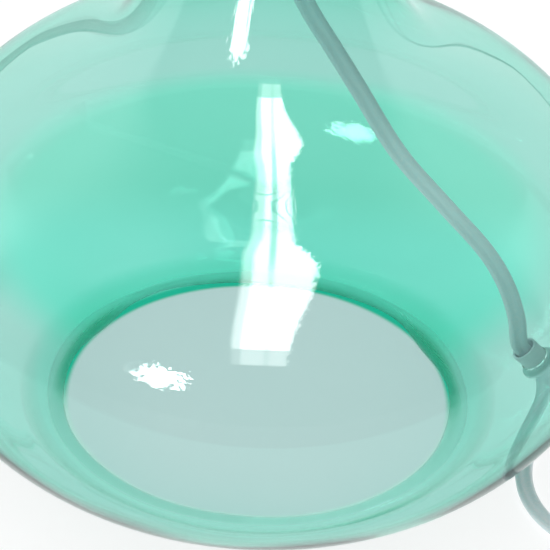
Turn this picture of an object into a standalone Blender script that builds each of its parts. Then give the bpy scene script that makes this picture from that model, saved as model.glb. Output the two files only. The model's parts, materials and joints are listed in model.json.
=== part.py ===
"""Table lamp base: green blown-glass body, neck fitting, lampholder, flex, in-line switch and plug.

Metres, +Z up. Every piece is placed from the foot of the lamp's axis: the front of the lamp
faces -Y and the flex leaves the glass on the +X side. One empty carries all the pieces and
sets the origin on the table at the centre of the whole set's footprint.
"""

import math

import bmesh
import bpy
from mathutils import Matrix, Vector

GAP = 0.0003                 # clearance between neighbouring pieces
ROUND_STEPS = 28             # facets of the small turned pieces
GLASS_STEPS = 52             # facets of the glass body

# glass body
GLASS_RADIUS = 0.115         # widest radius
BELLY_HEIGHT = 0.0606        # height of the widest ring
BELLY_RISE = 0.0763          # half height of the spheroid that the belly follows
GLASS_HEIGHT = 0.212
NECK_RADIUS = 0.022
NECK_START = 0.1934          # lower end of the straight neck
FLARE_TOP = Vector((0.0260, 0.1762))     # radius and height where the neck has opened to its slope
FLARE_SLOPE = math.radians(24.4)         # from the vertical
SHOULDER_RADIUS = 0.076      # where the belly hands over to the neck flare
HEEL_HEIGHT = 0.009          # where the belly hands over to the foot
FOOT_RADIUS = 0.0700         # outer edge of the ground foot ring
FOOT_WIDTH = 0.0070
WALL = 0.0018
BELLY_STEPS = 12             # rings of facets along the belly

# cord hole and bush
HOLE_AZIMUTH = math.radians(5.0)
HOLE_DIP = math.radians(48.0)        # the bore runs down and outwards
HOLE_CENTRE_RADIUS = 0.0893
HOLE_CENTRE_HEIGHT = 0.0144
HOLE_RADIUS = 0.0046
BUSH_BORE = 0.0035
BUSH_LENGTH = 0.0100

# flex
FLEX_WIDTH = 0.0056
FLEX_THICKNESS = 0.0028
COIL_CENTRE = Vector((0.184, -0.038))
COIL_RADIUS = 0.042
COIL_TURNS = 2.25
COIL_PITCH = 0.0032

# neck fitting
TUBE_RADIUS = 0.0050
TUBE_BORE = 0.0038
TUBE_BOTTOM = 0.174
TUBE_TOP = 0.233
NUT_RADIUS = 0.0081
CAP_RADIUS = 0.0275
CAP_THICKNESS = 0.0015

# lampholder
HOLDER_BOTTOM = 0.2203
HOLDER_SPLIT = 0.248
HOLDER_TOP = 0.292
HOLDER_RADIUS = 0.020
CORE_BOTTOM = 0.246
CORE_TOP = 0.258
RING_FLANGE_RADIUS = 0.029
LOWER_RING_BOTTOM = 0.254
UPPER_RING_BOTTOM = 0.272

# in-line switch, lying along Y
SWITCH = Vector((COIL_CENTRE.x + COIL_RADIUS, 0.045, 0.0))
SWITCH_WIDTH = 0.027
SWITCH_LENGTH = 0.066
SWITCH_SPLIT = 0.0090
SWITCH_HEIGHT = 0.0175
SWITCH_WALL = 0.0018
FLEX_IN_SWITCH = SWITCH_SPLIT + GAP / 2
ROCKER_PIVOT = 0.0146
ROCKER_TILT = math.radians(10.0)
BRIDGE_PIVOT = 0.0046
BRIDGE_TILT = math.radians(4.0)

# plug, lying along -X
PLUG = Vector((0.150, 0.097, 0.00685))
PLUG_LENGTH = 0.036
PLUG_WIDTH = 0.0353
PLUG_THICKNESS = 0.0137
PIN_SPACING = 0.0186
PIN_REACH = 0.019


# ---------------------------------------------------------------- scene set-up

def clear_scene():
    for obj in list(bpy.data.objects):
        bpy.data.objects.remove(obj, do_unlink=True)


def new_collection(name):
    collection = bpy.data.collections.new(name)
    bpy.context.scene.collection.children.link(collection)
    return collection


clear_scene()
PARTS = new_collection("table_lamp_base")
CUTTERS = new_collection("cutters")


def material(name, colour, roughness, metallic=0.0, transmission=0.0):
    mat = bpy.data.materials.new(name)
    mat.use_nodes = True
    shader = mat.node_tree.nodes["Principled BSDF"]
    shader.inputs["Base Color"].default_value = (*colour, 1.0)
    shader.inputs["Roughness"].default_value = roughness
    shader.inputs["Metallic"].default_value = metallic
    shader.inputs["Transmission Weight"].default_value = transmission
    return mat


GREEN_GLASS = material("green_glass", (0.36, 0.86, 0.72), 0.02, transmission=1.0)
CLEAR_PVC = material("clear_pvc", (0.74, 0.80, 0.84), 0.18, transmission=0.5)
STEEL = material("zinc_steel", (0.62, 0.63, 0.65), 0.35, 1.0)
NICKEL = material("brushed_nickel", (0.66, 0.64, 0.60), 0.28, 1.0)
BRASS = material("brass", (0.78, 0.58, 0.25), 0.30, 1.0)
RUBBER = material("black_rubber", (0.03, 0.03, 0.03), 0.75)
WHITE_PLASTIC = material("white_plastic", (0.86, 0.86, 0.84), 0.40)
PORCELAIN = material("porcelain", (0.90, 0.89, 0.85), 0.25)
GREY_PVC = material("grey_pvc", (0.55, 0.56, 0.58), 0.45)


# ---------------------------------------------------------------- helpers

def add_object(name, data, mat, location=(0.0, 0.0, 0.0)):
    obj = bpy.data.objects.new(name, data)
    obj.location = location
    PARTS.objects.link(obj)
    if mat is not None:
        data.materials.append(mat)
    return obj


def shade(obj):
    obj.data.shade_smooth()
    obj.data.set_sharp_from_angle(angle=math.radians(35.0))


def make_cutter(obj):
    PARTS.objects.unlink(obj)
    CUTTERS.objects.link(obj)
    obj.hide_render = True
    obj.display_type = 'WIRE'
    return obj


def boolean(obj, other, operation='DIFFERENCE'):
    modifier = obj.modifiers.new(operation.lower() + "_" + other.name, 'BOOLEAN')
    modifier.operation = operation
    modifier.object = other
    modifier.solver = 'EXACT'


def lathe(name, profile, mat, steps=ROUND_STEPS, location=(0.0, 0.0, 0.0)):
    """Turned piece: profile is a list of (radius, height), outer side first, top to bottom.

    A profile that starts and ends on the axis is a solid; any other is closed into a ring.
    """
    mesh = bpy.data.meshes.new(name)
    verts = [(r, 0.0, z) for r, z in profile]
    edges = [(i, i + 1) for i in range(len(verts) - 1)]
    if profile[0][0] > 0.0:
        edges.append((len(verts) - 1, 0))
    mesh.from_pydata(verts, edges, [])
    obj = add_object(name, mesh, mat, location)
    screw = obj.modifiers.new("turn", 'SCREW')
    screw.axis = 'Z'
    screw.angle = math.tau
    screw.steps = steps
    screw.render_steps = steps
    screw.use_merge_vertices = True
    screw.merge_threshold = 0.00001
    screw.use_smooth_shade = True
    return obj


def ring_profile(inner, outer, bottom, top):
    return [(outer, top), (outer, bottom), (inner, bottom), (inner, top)]


def disc_profile(radius, bottom, top):
    return [(0.0, top), (radius, top), (radius, bottom), (0.0, bottom)]


def prism(name, mat, radius, depth, sides, location, rotation=None):
    """Upright prism or cylinder with its centre at location."""
    mesh = bpy.data.meshes.new(name)
    bm = bmesh.new()
    bmesh.ops.create_cone(bm, cap_ends=True, segments=sides,
                          radius1=radius, radius2=radius, depth=depth)
    bm.to_mesh(mesh)
    bm.free()
    obj = add_object(name, mesh, mat, location)
    if rotation is not None:
        obj.rotation_euler = rotation
    return obj


def box(name, mat, size, location, bevel=0.0, segments=2):
    """Box of the given size with its centre at location and optional rounded edges."""
    mesh = bpy.data.meshes.new(name)
    bm = bmesh.new()
    bmesh.ops.create_cube(bm, size=1.0)
    bmesh.ops.scale(bm, vec=size, verts=bm.verts)
    bm.to_mesh(mesh)
    bm.free()
    obj = add_object(name, mesh, mat, location)
    if bevel > 0.0:
        modifier = obj.modifiers.new("round", 'BEVEL')
        modifier.width = bevel
        modifier.segments = segments
    return obj


def cut_box(obj, tag, size, location):
    boolean(obj, make_cutter(box("cut_" + tag, None, size, location)))


def cut_cylinder(obj, tag, radius, depth, location, rotation=None, sides=20):
    boolean(obj, make_cutter(prism("cut_" + tag, None, radius, depth, sides, location, rotation)))


def wire(name, points, radius, mat, resolution=2):
    """Round wire along a chain of points."""
    curve = bpy.data.curves.new(name, 'CURVE')
    curve.dimensions = '3D'
    curve.bevel_depth = radius
    curve.bevel_resolution = resolution
    curve.use_fill_caps = True
    spline = curve.splines.new('POLY')
    spline.points.add(len(points) - 1)
    for target, point in zip(spline.points, points):
        target.co = (*point, 1.0)
    return add_object(name, curve, mat)


def bezier(p0, p1, p2, p3, count):
    """Points of a cubic curve, without its first point."""
    points = []
    for i in range(1, count + 1):
        t = i / count
        s = 1.0 - t
        weights = (s * s * s, 3 * s * s * t, 3 * s * t * t, t * t * t)
        points.append(tuple(
            sum(w * p[axis] for w, p in zip(weights, (p0, p1, p2, p3)))
            for axis in range(len(p0))
        ))
    return points


def smooth_chain(waypoints, per_span):
    """Catmull-Rom chain through the waypoints."""
    padded = [waypoints[0] * 2 - waypoints[1]] + list(waypoints) + [waypoints[-1] * 2 - waypoints[-2]]
    chain = [waypoints[0].copy()]
    for a, b, c, d in zip(padded, padded[1:], padded[2:], padded[3:]):
        handles = (b, b + (c - a) / 6, c - (d - b) / 6, c)
        chain += [Vector(p) for p in bezier(*handles, per_span)]
    return chain


def polar(radius, azimuth, height):
    return Vector((radius * math.cos(azimuth), radius * math.sin(azimuth), height))


# ---------------------------------------------------------------- glass

def belly_height(radius, side):
    """Height of the belly at a radius, above (side +1) or below (side -1) the widest ring."""
    return BELLY_HEIGHT + side * BELLY_RISE * math.sqrt(1.0 - (radius / GLASS_RADIUS) ** 2)


def belly_direction(radius, height):
    """Unit tangent of the belly, pointing down and outwards or down and inwards."""
    slope = (GLASS_RADIUS / BELLY_RISE) ** 2 * (height - BELLY_HEIGHT) / radius
    return Vector((slope, -1.0)).normalized()


def glass_outline():
    """Outer line of the glass from the neck rim down to the outer edge of the foot."""
    shoulder = Vector((SHOULDER_RADIUS, belly_height(SHOULDER_RADIUS, 1)))
    shoulder_pull = belly_direction(*shoulder) * 0.0371
    slope = Vector((math.sin(FLARE_SLOPE), -math.cos(FLARE_SLOPE)))
    line = [(NECK_RADIUS, GLASS_HEIGHT - 0.002), (NECK_RADIUS, NECK_START)]
    line += bezier(line[-1], (NECK_RADIUS, NECK_START - 0.006),
                   tuple(FLARE_TOP - slope * 0.007), tuple(FLARE_TOP), 3)
    line += bezier(line[-1], tuple(FLARE_TOP + slope * 0.0407),
                   tuple(shoulder - shoulder_pull), tuple(shoulder), 7)

    start = math.asin((shoulder.y - BELLY_HEIGHT) / BELLY_RISE)
    end = math.asin((HEEL_HEIGHT - BELLY_HEIGHT) / BELLY_RISE)
    for i in range(1, BELLY_STEPS + 1):
        angle = start + (end - start) * i / BELLY_STEPS
        line.append((GLASS_RADIUS * math.cos(angle), BELLY_HEIGHT + BELLY_RISE * math.sin(angle)))

    heel = Vector(line[-1])
    heel_pull = belly_direction(*heel) * 0.010
    foot_edge = Vector((FOOT_RADIUS, 0.0))
    line += bezier(tuple(heel), tuple(heel + heel_pull),
                   tuple(foot_edge + Vector((0.005, 0.0006))), tuple(foot_edge), 3)
    return line


def wall_at(height):
    """Wall thickness: thickest at the foot, thinnest at the shoulder, heavier at the neck."""
    foot = math.exp(-height / 0.016)
    neck = 1.0 / (1.0 + math.exp((0.150 - height) / 0.010))
    return WALL + 0.0010 * foot + 0.0010 * neck


def inner_line(outer):
    """Outer line moved inwards by the local wall thickness, from the foot up to the neck rim."""
    line = []
    for i in range(1, len(outer) - 1):
        along = Vector(outer[i + 1]) - Vector(outer[i - 1])
        inward = Vector((along.y, -along.x)).normalized()
        point = Vector(outer[i]) + inward * wall_at(outer[i][1])
        if point.y > 0.006:
            line.append(tuple(point))
    return line[::-1]


def make_glass():
    outer = glass_outline()
    inner = inner_line(outer)
    wall = wall_at(GLASS_HEIGHT)
    lip_middle = (NECK_RADIUS - wall / 2, GLASS_HEIGHT)
    foot_edge = FOOT_RADIUS - FOOT_WIDTH
    foot = [(foot_edge, 0.0), (foot_edge, 0.0030), (foot_edge + 0.0030, 0.0050)]
    top = [(NECK_RADIUS - wall, GLASS_HEIGHT - 0.002)]
    profile = [lip_middle] + outer + foot + inner + top
    glass = lathe("glass_body", profile, GREEN_GLASS, GLASS_STEPS)
    cut_cylinder(glass, "cord_hole", HOLE_RADIUS, 0.024, hole_centre(), hole_rotation(), sides=24)
    return glass


# ---------------------------------------------------------------- cord hole and bush

def hole_centre():
    return polar(HOLE_CENTRE_RADIUS, HOLE_AZIMUTH, HOLE_CENTRE_HEIGHT)


def hole_direction():
    """Unit vector along the bore, from the inside of the glass to the outside."""
    flat = polar(1.0, HOLE_AZIMUTH, 0.0)
    return flat * math.cos(HOLE_DIP) - Vector((0.0, 0.0, 1.0)) * math.sin(HOLE_DIP)


def hole_rotation():
    return hole_direction().to_track_quat('Z', 'Y').to_euler()


def make_bush():
    outer_end = 0.0042
    inner_end = outer_end - BUSH_LENGTH
    collar = 0.0062
    barrel = HOLE_RADIUS - GAP
    profile = [
        (collar, outer_end), (collar, outer_end - 0.0014), (barrel, outer_end - 0.0018),
        (barrel, inner_end), (BUSH_BORE, inner_end), (BUSH_BORE, outer_end),
    ]
    bush = lathe("cord_bush", profile, CLEAR_PVC, 24, hole_centre())
    bush.rotation_euler = hole_rotation()
    return bush


# ---------------------------------------------------------------- flex

def flat_flex(name, points, tilts):
    """Flat twin-core flex with rounded edges along a chain of points."""
    curve = bpy.data.curves.new(name, 'CURVE')
    curve.dimensions = '3D'
    curve.twist_mode = 'Z_UP'
    curve.bevel_depth = FLEX_THICKNESS / 2
    curve.extrude = (FLEX_WIDTH - FLEX_THICKNESS) / 2
    curve.bevel_resolution = 1
    curve.use_fill_caps = True
    spline = curve.splines.new('POLY')
    spline.points.add(len(points) - 1)
    for target, point, tilt in zip(spline.points, points, tilts):
        target.co = (*point, 1.0)
        target.tilt = tilt
    return add_object(name, curve, CLEAR_PVC)


def inside_run():
    """Waypoints from the top of the threaded tube to the cord hole, as (reach, height)."""
    reach_height = [
        (0.0001, 0.236), (0.0002, 0.205), (0.0004, 0.172), (0.0032, 0.162), (0.0100, 0.147),
        (0.018, 0.133), (0.026, 0.119), (0.040, 0.095), (0.056, 0.075), (0.070, 0.058),
        (0.0775, 0.045), (0.0820, 0.032),
    ]
    return [polar(reach, HOLE_AZIMUTH, height) for reach, height in reach_height]


def lamp_flex_path():
    """Chain of points and the flex's tilt at each: upright inside, lying flat on the table."""
    centre = hole_centre()
    along = hole_direction()
    low = FLEX_THICKNESS / 2 + GAP
    inside = inside_run() + [centre - along * 0.0075, centre, centre + along * 0.0050]
    bend = [
        Vector((0.0935, 0.0055, 0.0060)), Vector((0.0933, -0.0010, 0.0033)),
        Vector((0.0905, -0.0100, low)),
    ]
    table = [
        Vector((0.0870, -0.0220, low)), Vector((0.0848, -0.0350, low)),
        Vector((0.0862, -0.0480, low)), Vector((0.0925, -0.0600, low)),
        Vector((0.1050, -0.0700, low)), Vector((0.1250, -0.0760, low)),
        Vector((0.1500, -0.0795, low)),
    ]
    waypoints = inside + bend + table
    chain = smooth_chain(waypoints, 3)
    upright = 3 * (len(inside) - 1)
    flat_from = 3 * (len(inside) + len(bend) - 1)
    tilts = []
    for i in range(len(chain)):
        share = min(max((i - upright) / (flat_from - upright), 0.0), 1.0)
        tilts.append(-math.pi / 2 * share)

    coil_steps = round(22 * COIL_TURNS)
    for i in range(coil_steps + 1):
        angle = -math.pi / 2 + math.tau * COIL_TURNS * i / coil_steps
        rise = COIL_PITCH * COIL_TURNS * i / coil_steps
        chain.append(Vector((
            COIL_CENTRE.x + COIL_RADIUS * math.cos(angle),
            COIL_CENTRE.y + COIL_RADIUS * math.sin(angle),
            low + rise,
        )))
        tilts.append(-math.pi / 2)

    entry = SWITCH.y - SWITCH_LENGTH / 2
    for y, height in ((entry - 0.016, 0.0092), (entry, FLEX_IN_SWITCH), (entry + 0.0125, FLEX_IN_SWITCH)):
        chain.append(Vector((SWITCH.x, y, height)))
        tilts.append(-math.pi / 2)
    return chain, tilts


def plug_flex_path():
    exit_y = SWITCH.y + SWITCH_LENGTH / 2
    radius = PLUG.y - exit_y - 0.004
    chain = [Vector((SWITCH.x, exit_y - 0.0125, FLEX_IN_SWITCH)), Vector((SWITCH.x, exit_y, FLEX_IN_SWITCH))]
    centre = Vector((SWITCH.x - radius, PLUG.y - radius))
    for i in range(9):
        angle = math.pi / 2 * i / 8
        height = FLEX_IN_SWITCH + (PLUG.z - FLEX_IN_SWITCH) * i / 8
        chain.append(Vector((centre.x + radius * math.cos(angle), centre.y + radius * math.sin(angle), height)))
    plug_end = PLUG.x + PLUG_LENGTH / 2
    chain.append(Vector((plug_end, PLUG.y, PLUG.z)))
    chain.append(Vector((plug_end - 0.010, PLUG.y, PLUG.z)))
    return chain, [-math.pi / 2] * len(chain)


# ---------------------------------------------------------------- neck fitting

def nut(name, bottom, top):
    piece = prism(name, STEEL, NUT_RADIUS, top - bottom, 6, (0.0, 0.0, (bottom + top) / 2))
    cut_cylinder(piece, name, TUBE_RADIUS + GAP, 0.02, (0.0, 0.0, (bottom + top) / 2), sides=ROUND_STEPS)
    return piece


def make_neck_fitting():
    bore = TUBE_RADIUS + GAP
    neck_bore = NECK_RADIUS - wall_at(GLASS_HEIGHT)
    bung_bottom, bung_top = 0.184, GLASS_HEIGHT - 0.0005
    cap_plate = GLASS_HEIGHT + 0.0021
    lathe("threaded_tube", ring_profile(TUBE_BORE, TUBE_RADIUS, TUBE_BOTTOM, TUBE_TOP), STEEL)
    nut("lower_nut", 0.1764, 0.1814)
    lathe("lower_washer", ring_profile(bore, 0.014, 0.1817, bung_bottom - GAP), STEEL)
    lathe("neck_bung", [
        (neck_bore - 0.0004, bung_top), (neck_bore - 0.0004, bung_bottom + 0.006),
        (0.0150, bung_bottom), (bore, bung_bottom), (bore, bung_top),
    ], RUBBER)
    lathe("upper_washer", ring_profile(bore, 0.015, bung_top + GAP, cap_plate - GAP), STEEL)
    lathe("neck_gasket", ring_profile(0.0175, 0.0215, GLASS_HEIGHT + GAP, GLASS_HEIGHT + 0.0014), RUBBER)
    make_neck_cap(bore, cap_plate)
    nut("upper_nut", 0.2160, 0.2200)


def make_neck_cap(bore, plate):
    """Spun metal cup over the rim of the neck."""
    inner = CAP_RADIUS - CAP_THICKNESS
    top = plate + CAP_THICKNESS
    skirt = GLASS_HEIGHT - 0.011
    shoulder = 0.006
    outside = bezier((CAP_RADIUS - shoulder, top), (CAP_RADIUS - 0.002, top),
                     (CAP_RADIUS, top - 0.002), (CAP_RADIUS, top - shoulder), 4)
    inside = bezier((inner, plate - shoulder), (inner, plate - 0.002),
                    (inner - 0.002, plate), (inner - shoulder, plate), 4)
    profile = [(bore, top), (CAP_RADIUS - shoulder, top)] + outside
    profile += [(CAP_RADIUS, skirt), (inner, skirt), (inner, plate - shoulder)] + inside
    profile += [(bore, plate)]
    lathe("neck_cap", profile, NICKEL)


# ---------------------------------------------------------------- lampholder

def make_holder_cap():
    bore = TUBE_RADIUS + GAP
    collar = 0.009
    wall = 0.0018
    outside = bezier((HOLDER_RADIUS, 0.239), (HOLDER_RADIUS, 0.232), (0.013, 0.230), (collar, 0.2265), 6)
    inside = bezier((bore, 0.2295), (0.012, 0.2325), (HOLDER_RADIUS - wall, 0.235),
                    (HOLDER_RADIUS - wall, 0.241), 6)
    profile = [(HOLDER_RADIUS, HOLDER_SPLIT), (HOLDER_RADIUS, 0.239)] + outside
    profile += [(collar, HOLDER_BOTTOM), (bore, HOLDER_BOTTOM), (bore, 0.2295)] + inside
    profile += [(HOLDER_RADIUS - wall, HOLDER_SPLIT)]
    cap = lathe("holder_cap", profile, WHITE_PLASTIC)
    along_x = (0.0, math.pi / 2, 0.0)
    cut_cylinder(cap, "lock_screw", 0.0018, 0.010, (-0.0095, 0.0, 0.2235), along_x, sides=12)
    length = 0.0046
    prism("lock_screw", STEEL, 0.0015, length, 12, (-(bore + length / 2), 0.0, 0.2235), along_x)


def make_holder_skirt():
    """Tube with a coarse outside thread for the shade rings."""
    bottom = HOLDER_SPLIT + GAP
    ridges = 8
    pitch = (HOLDER_TOP - 0.002 - LOWER_RING_BOTTOM + 0.003) / ridges
    start = HOLDER_TOP - 0.002
    outer = [(HOLDER_RADIUS - 0.0006, HOLDER_TOP)]
    for i in range(ridges):
        outer.append((HOLDER_RADIUS, start - pitch * (i + 0.25)))
        outer.append((HOLDER_RADIUS - 0.0006, start - pitch * (i + 0.75)))
    outer.append((HOLDER_RADIUS - 0.0006, bottom))
    inner = HOLDER_RADIUS - 0.0026
    lathe("holder_skirt", outer + [(inner, bottom), (inner, HOLDER_TOP)], WHITE_PLASTIC)


def make_shade_ring(name, bottom, hub_height, knobs):
    """Flanged ring on the thread; the flange is at the bottom and the hub rises above it."""
    bore = HOLDER_RADIUS + GAP
    hub = 0.0230
    flange = 0.0020
    profile = [
        (hub, hub_height), (hub, flange), (RING_FLANGE_RADIUS, flange),
        (RING_FLANGE_RADIUS, 0.0), (bore, 0.0), (bore, hub_height),
    ]
    ring = lathe(name, profile, WHITE_PLASTIC, ROUND_STEPS, (0.0, 0.0, bottom))
    for i in range(knobs):
        angle = math.tau * (i + 0.5) / knobs
        spot = polar(RING_FLANGE_RADIUS + 0.0007, angle, bottom + flange / 2)
        cut_cylinder(ring, f"{name}_{i}", 0.0026, 0.007, spot, sides=12)
    return ring


def make_socket():
    core = lathe("socket_core", disc_profile(0.0168, CORE_BOTTOM, CORE_TOP), PORCELAIN)
    cut_box(core, "leaf_pocket", (0.0075, 0.020, 0.008), (0.0, 0.0, CORE_TOP))
    for side, tag in ((1, "shell"), (-1, "centre")):
        spot = Vector((side * 0.010, 0.0, 0.0))
        cut_cylinder(core, "terminal_" + tag, 0.0018, 0.014, spot + Vector((0, 0, CORE_BOTTOM)), sides=12)
        make_screw("terminal_screw_" + tag, BRASS, spot + Vector((0, 0, CORE_BOTTOM - 0.0028)),
                   0.0028, 0.0025, 0.0015, 0.0062)
        wire("conductor_tail_" + tag, [
            Vector((side * 0.0015, 0.0, 0.2364)), Vector((side * 0.0030, 0.0, 0.2385)),
            Vector((side * 0.0075, 0.0, 0.2405)), Vector((side * 0.0100, 0.0, 0.2423)),
        ], 0.0008, BRASS, 1)
    make_screw_shell()
    make_centre_contact()


def make_screw(name, mat, bottom, head_radius, head_height, shank_radius, shank_length):
    """Round-head screw standing on its head at the given point."""
    top = head_height + shank_length
    return lathe(name, [
        (0.0, top), (shank_radius, top), (shank_radius, head_height),
        (head_radius, head_height), (head_radius, 0.0), (0.0, 0.0),
    ], mat, 12, bottom)


def make_screw_shell():
    """Rolled brass thread of the lamp socket, with a flange turned in at the bottom."""
    bottom = CORE_TOP + GAP
    top = HOLDER_TOP - 0.005
    thickness = 0.0005
    crest, root = 0.0128, 0.0138
    turns = 5
    pitch = (top - bottom - 0.002) / turns
    wave = []
    for i in range(turns):
        wave.append((root, top - pitch * (i + 0.25)))
        wave.append((crest, top - pitch * (i + 0.75)))
    outer = [(root, top)] + wave + [(root, bottom)]
    inner = [(r - thickness, z) for r, z in reversed(wave)]
    inner = [(0.0100, bottom), (0.0100, bottom + thickness), (root - thickness, bottom + thickness)] + inner
    lathe("screw_shell", outer + inner + [(root - thickness, top)], BRASS)


def make_centre_contact():
    """Leaf spring: its root is the pivot, and the tip rises into the socket."""
    length = 0.011
    rise = math.radians(24.0)
    curve = bpy.data.curves.new("centre_contact", 'CURVE')
    curve.dimensions = '2D'
    curve.fill_mode = 'BOTH'
    curve.extrude = 0.0022
    spline = curve.splines.new('POLY')
    outline = [(0.0, 0.0), (length, 0.0), (length + 0.0015, -0.0008), (length + 0.0012, -0.0013),
               (length - 0.0002, -0.0005), (0.0, -0.0005)]
    spline.points.add(len(outline) - 1)
    for target, (x, y) in zip(spline.points, outline):
        target.co = (x, y, 0.0, 1.0)
    spline.use_cyclic_u = True
    leaf = add_object("centre_contact", curve, BRASS, (0.0, -0.0070, CORE_TOP - 0.0028))
    along = Vector((0.0, math.cos(rise), math.sin(rise)))
    up = Vector((0.0, -math.sin(rise), math.cos(rise)))
    leaf.rotation_euler = Matrix((along, up, along.cross(up))).transposed().to_euler()
    return leaf


# ---------------------------------------------------------------- in-line switch

def in_switch(x, y, z):
    return SWITCH + Vector((x, y, z))


SCREW_SPOTS = ((0.0092, 0.0262), (-0.0092, -0.0262))
CAVITY_HALF = 0.0195


def cut_flex_channel(shell, tag):
    height = FLEX_THICKNESS + 2 * GAP
    cut_box(shell, tag + "_channel", (FLEX_WIDTH + 2 * GAP, 0.10, height), in_switch(0, 0, FLEX_IN_SWITCH))


def make_switch_shells():
    mid = SWITCH_SPLIT / 2
    lower = box("switch_lower_shell", WHITE_PLASTIC, (SWITCH_WIDTH, SWITCH_LENGTH, SWITCH_SPLIT),
                in_switch(0, 0, mid), 0.0020)
    cut_box(lower, "lower_cavity", (SWITCH_WIDTH - 0.0044, 2 * CAVITY_HALF, SWITCH_SPLIT),
            in_switch(0, 0, mid + SWITCH_WALL))
    cut_flex_channel(lower, "lower")

    tall = SWITCH_HEIGHT - SWITCH_SPLIT - GAP
    centre = SWITCH_SPLIT + GAP + tall / 2
    upper = box("switch_upper_shell", WHITE_PLASTIC, (SWITCH_WIDTH, SWITCH_LENGTH, tall),
                in_switch(0, 0, centre), 0.0020)
    cut_box(upper, "upper_cavity", (0.0134, 2 * CAVITY_HALF, tall), in_switch(0, 0, centre - SWITCH_WALL))
    cut_box(upper, "window", (0.0130, 0.0212, 0.010), in_switch(0, 0, SWITCH_HEIGHT))
    cut_flex_channel(upper, "upper")
    for side in (-1, 1):
        cut_box(upper, f"clamp_pocket_{side}", (0.0112, 0.0056, 0.0084),
                in_switch(0, side * 0.0245, SWITCH_SPLIT))
    along_x = (0.0, math.pi / 2, 0.0)
    cut_cylinder(upper, "pin_hole", 0.0015, 0.0200, in_switch(0, 0, ROCKER_PIVOT), along_x, sides=14)

    for number, (x, y) in enumerate(SCREW_SPOTS, start=1):
        cut_cylinder(lower, f"shank_{number}", 0.0018, 0.040, in_switch(x, y, 0), sides=14)
        cut_cylinder(lower, f"head_{number}", 0.0032, 0.0060, in_switch(x, y, 0), sides=14)
        cut_cylinder(upper, f"thread_{number}", 0.0018, 0.0080, in_switch(x, y, 0.0105), sides=14)
        make_screw(f"switch_screw_{number}", STEEL, in_switch(x, y, 0.0007), 0.0028, 0.0020, 0.0015, 0.0110)


def make_rocker():
    """Rocker, its sprung plunger and the pin that it turns on; the pieces stand at the off end."""
    pivot = in_switch(0, 0, ROCKER_PIVOT)
    turn = (-ROCKER_TILT, 0.0, 0.0)
    along_x = (0.0, math.pi / 2, 0.0)
    width = 0.0124
    rocker = box("switch_rocker", WHITE_PLASTIC, (width, 0.0190, 0.0045), (0.0, 0.0, 0.00225), 0.0006, 1)
    stem = make_cutter(box("rocker_stem", None, (width, 0.0062, 0.0078), (0.0, 0.0, -0.0030)))
    boolean(rocker, stem, 'UNION')
    dish = make_cutter(prism("rocker_dish", None, 0.040, 0.020, 48, (0.0, 0.0, 0.0436), along_x))
    boolean(rocker, dish)
    bore = make_cutter(prism("rocker_bore", None, 0.0015, 0.020, 14, (0.0, 0.0, 0.0), along_x))
    boolean(rocker, bore)
    well = make_cutter(prism("rocker_well", None, 0.0019, 0.0090, 14, (0.0, 0.0, -0.0069)))
    boolean(rocker, well)
    rocker.location = pivot
    rocker.rotation_euler = turn
    for guide in (stem, dish, bore, well):
        guide.parent = rocker
    prism("rocker_pin", STEEL, 0.0012, 0.0190, 14, pivot, along_x)

    plunger = lathe("plunger", [
        (0.0, -0.0052), (0.0015, -0.0052), (0.0015, -0.0074), (0.0009, -0.0083), (0.0, -0.0085),
    ], BRASS, 14, pivot)
    plunger.rotation_euler = turn
    coil_points = []
    for i in range(29):
        angle = math.tau * i / 7
        coil_points.append(Vector((0.0012 * math.cos(angle), 0.0012 * math.sin(angle), -0.0029 - 0.0018 * i / 28)))
    spring = wire("plunger_spring", coil_points, 0.00018, STEEL, 0)
    spring.location = pivot
    spring.rotation_euler = turn


def make_contacts():
    floor = SWITCH_WALL + GAP
    bridge = box("contact_bridge", BRASS, (0.0050, 0.0200, 0.0008), (0.0, 0.0, 0.0), 0.0)
    bridge.location = in_switch(0, 0, BRIDGE_PIVOT + 0.0007)
    bridge.rotation_euler = (BRIDGE_TILT, 0.0, 0.0)

    line = box("line_contact", BRASS, (0.0060, 0.0160, 0.0008), in_switch(0, -0.0070, floor + 0.0004))
    post = make_cutter(box("line_post", None, (0.0060, 0.0012, BRIDGE_PIVOT - floor),
                           in_switch(0, 0, (BRIDGE_PIVOT + floor) / 2)))
    boolean(line, post, 'UNION')
    pad_top = floor + 0.0016
    load = box("load_contact", BRASS, (0.0060, 0.0105, 0.0008), in_switch(0, 0.0125, floor + 0.0004))
    pad = make_cutter(box("load_pad", None, (0.0030, 0.0020, pad_top - floor),
                          in_switch(0, 0.0085, (pad_top + floor) / 2)))
    boolean(load, pad, 'UNION')
    for side, tag in ((-1, "lamp"), (1, "plug")):
        box("cord_clamp_" + tag, WHITE_PLASTIC, (0.0104, 0.0048, 0.0022),
            in_switch(0, side * 0.0245, FLEX_IN_SWITCH + FLEX_THICKNESS / 2 + GAP + 0.0011))
        wire("line_tail_" + tag, [
            in_switch(0.0014, side * 0.0198, 0.0088), in_switch(0.0014, side * 0.0188, 0.0078),
            in_switch(0.0014, side * 0.0168, 0.0058), in_switch(0.0014, side * 0.0155, 0.0040),
        ], 0.0006, BRASS, 1)
    span = [(-0.0182, -0.0016), (-0.0165, -0.0040), (-0.0120, -0.0086), (0.0120, -0.0086),
            (0.0165, -0.0040), (0.0182, -0.0016)]
    wire("neutral_link", [in_switch(x, y, 0.0066) for y, x in span], 0.0009, CLEAR_PVC, 1)


# ---------------------------------------------------------------- plug

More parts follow.
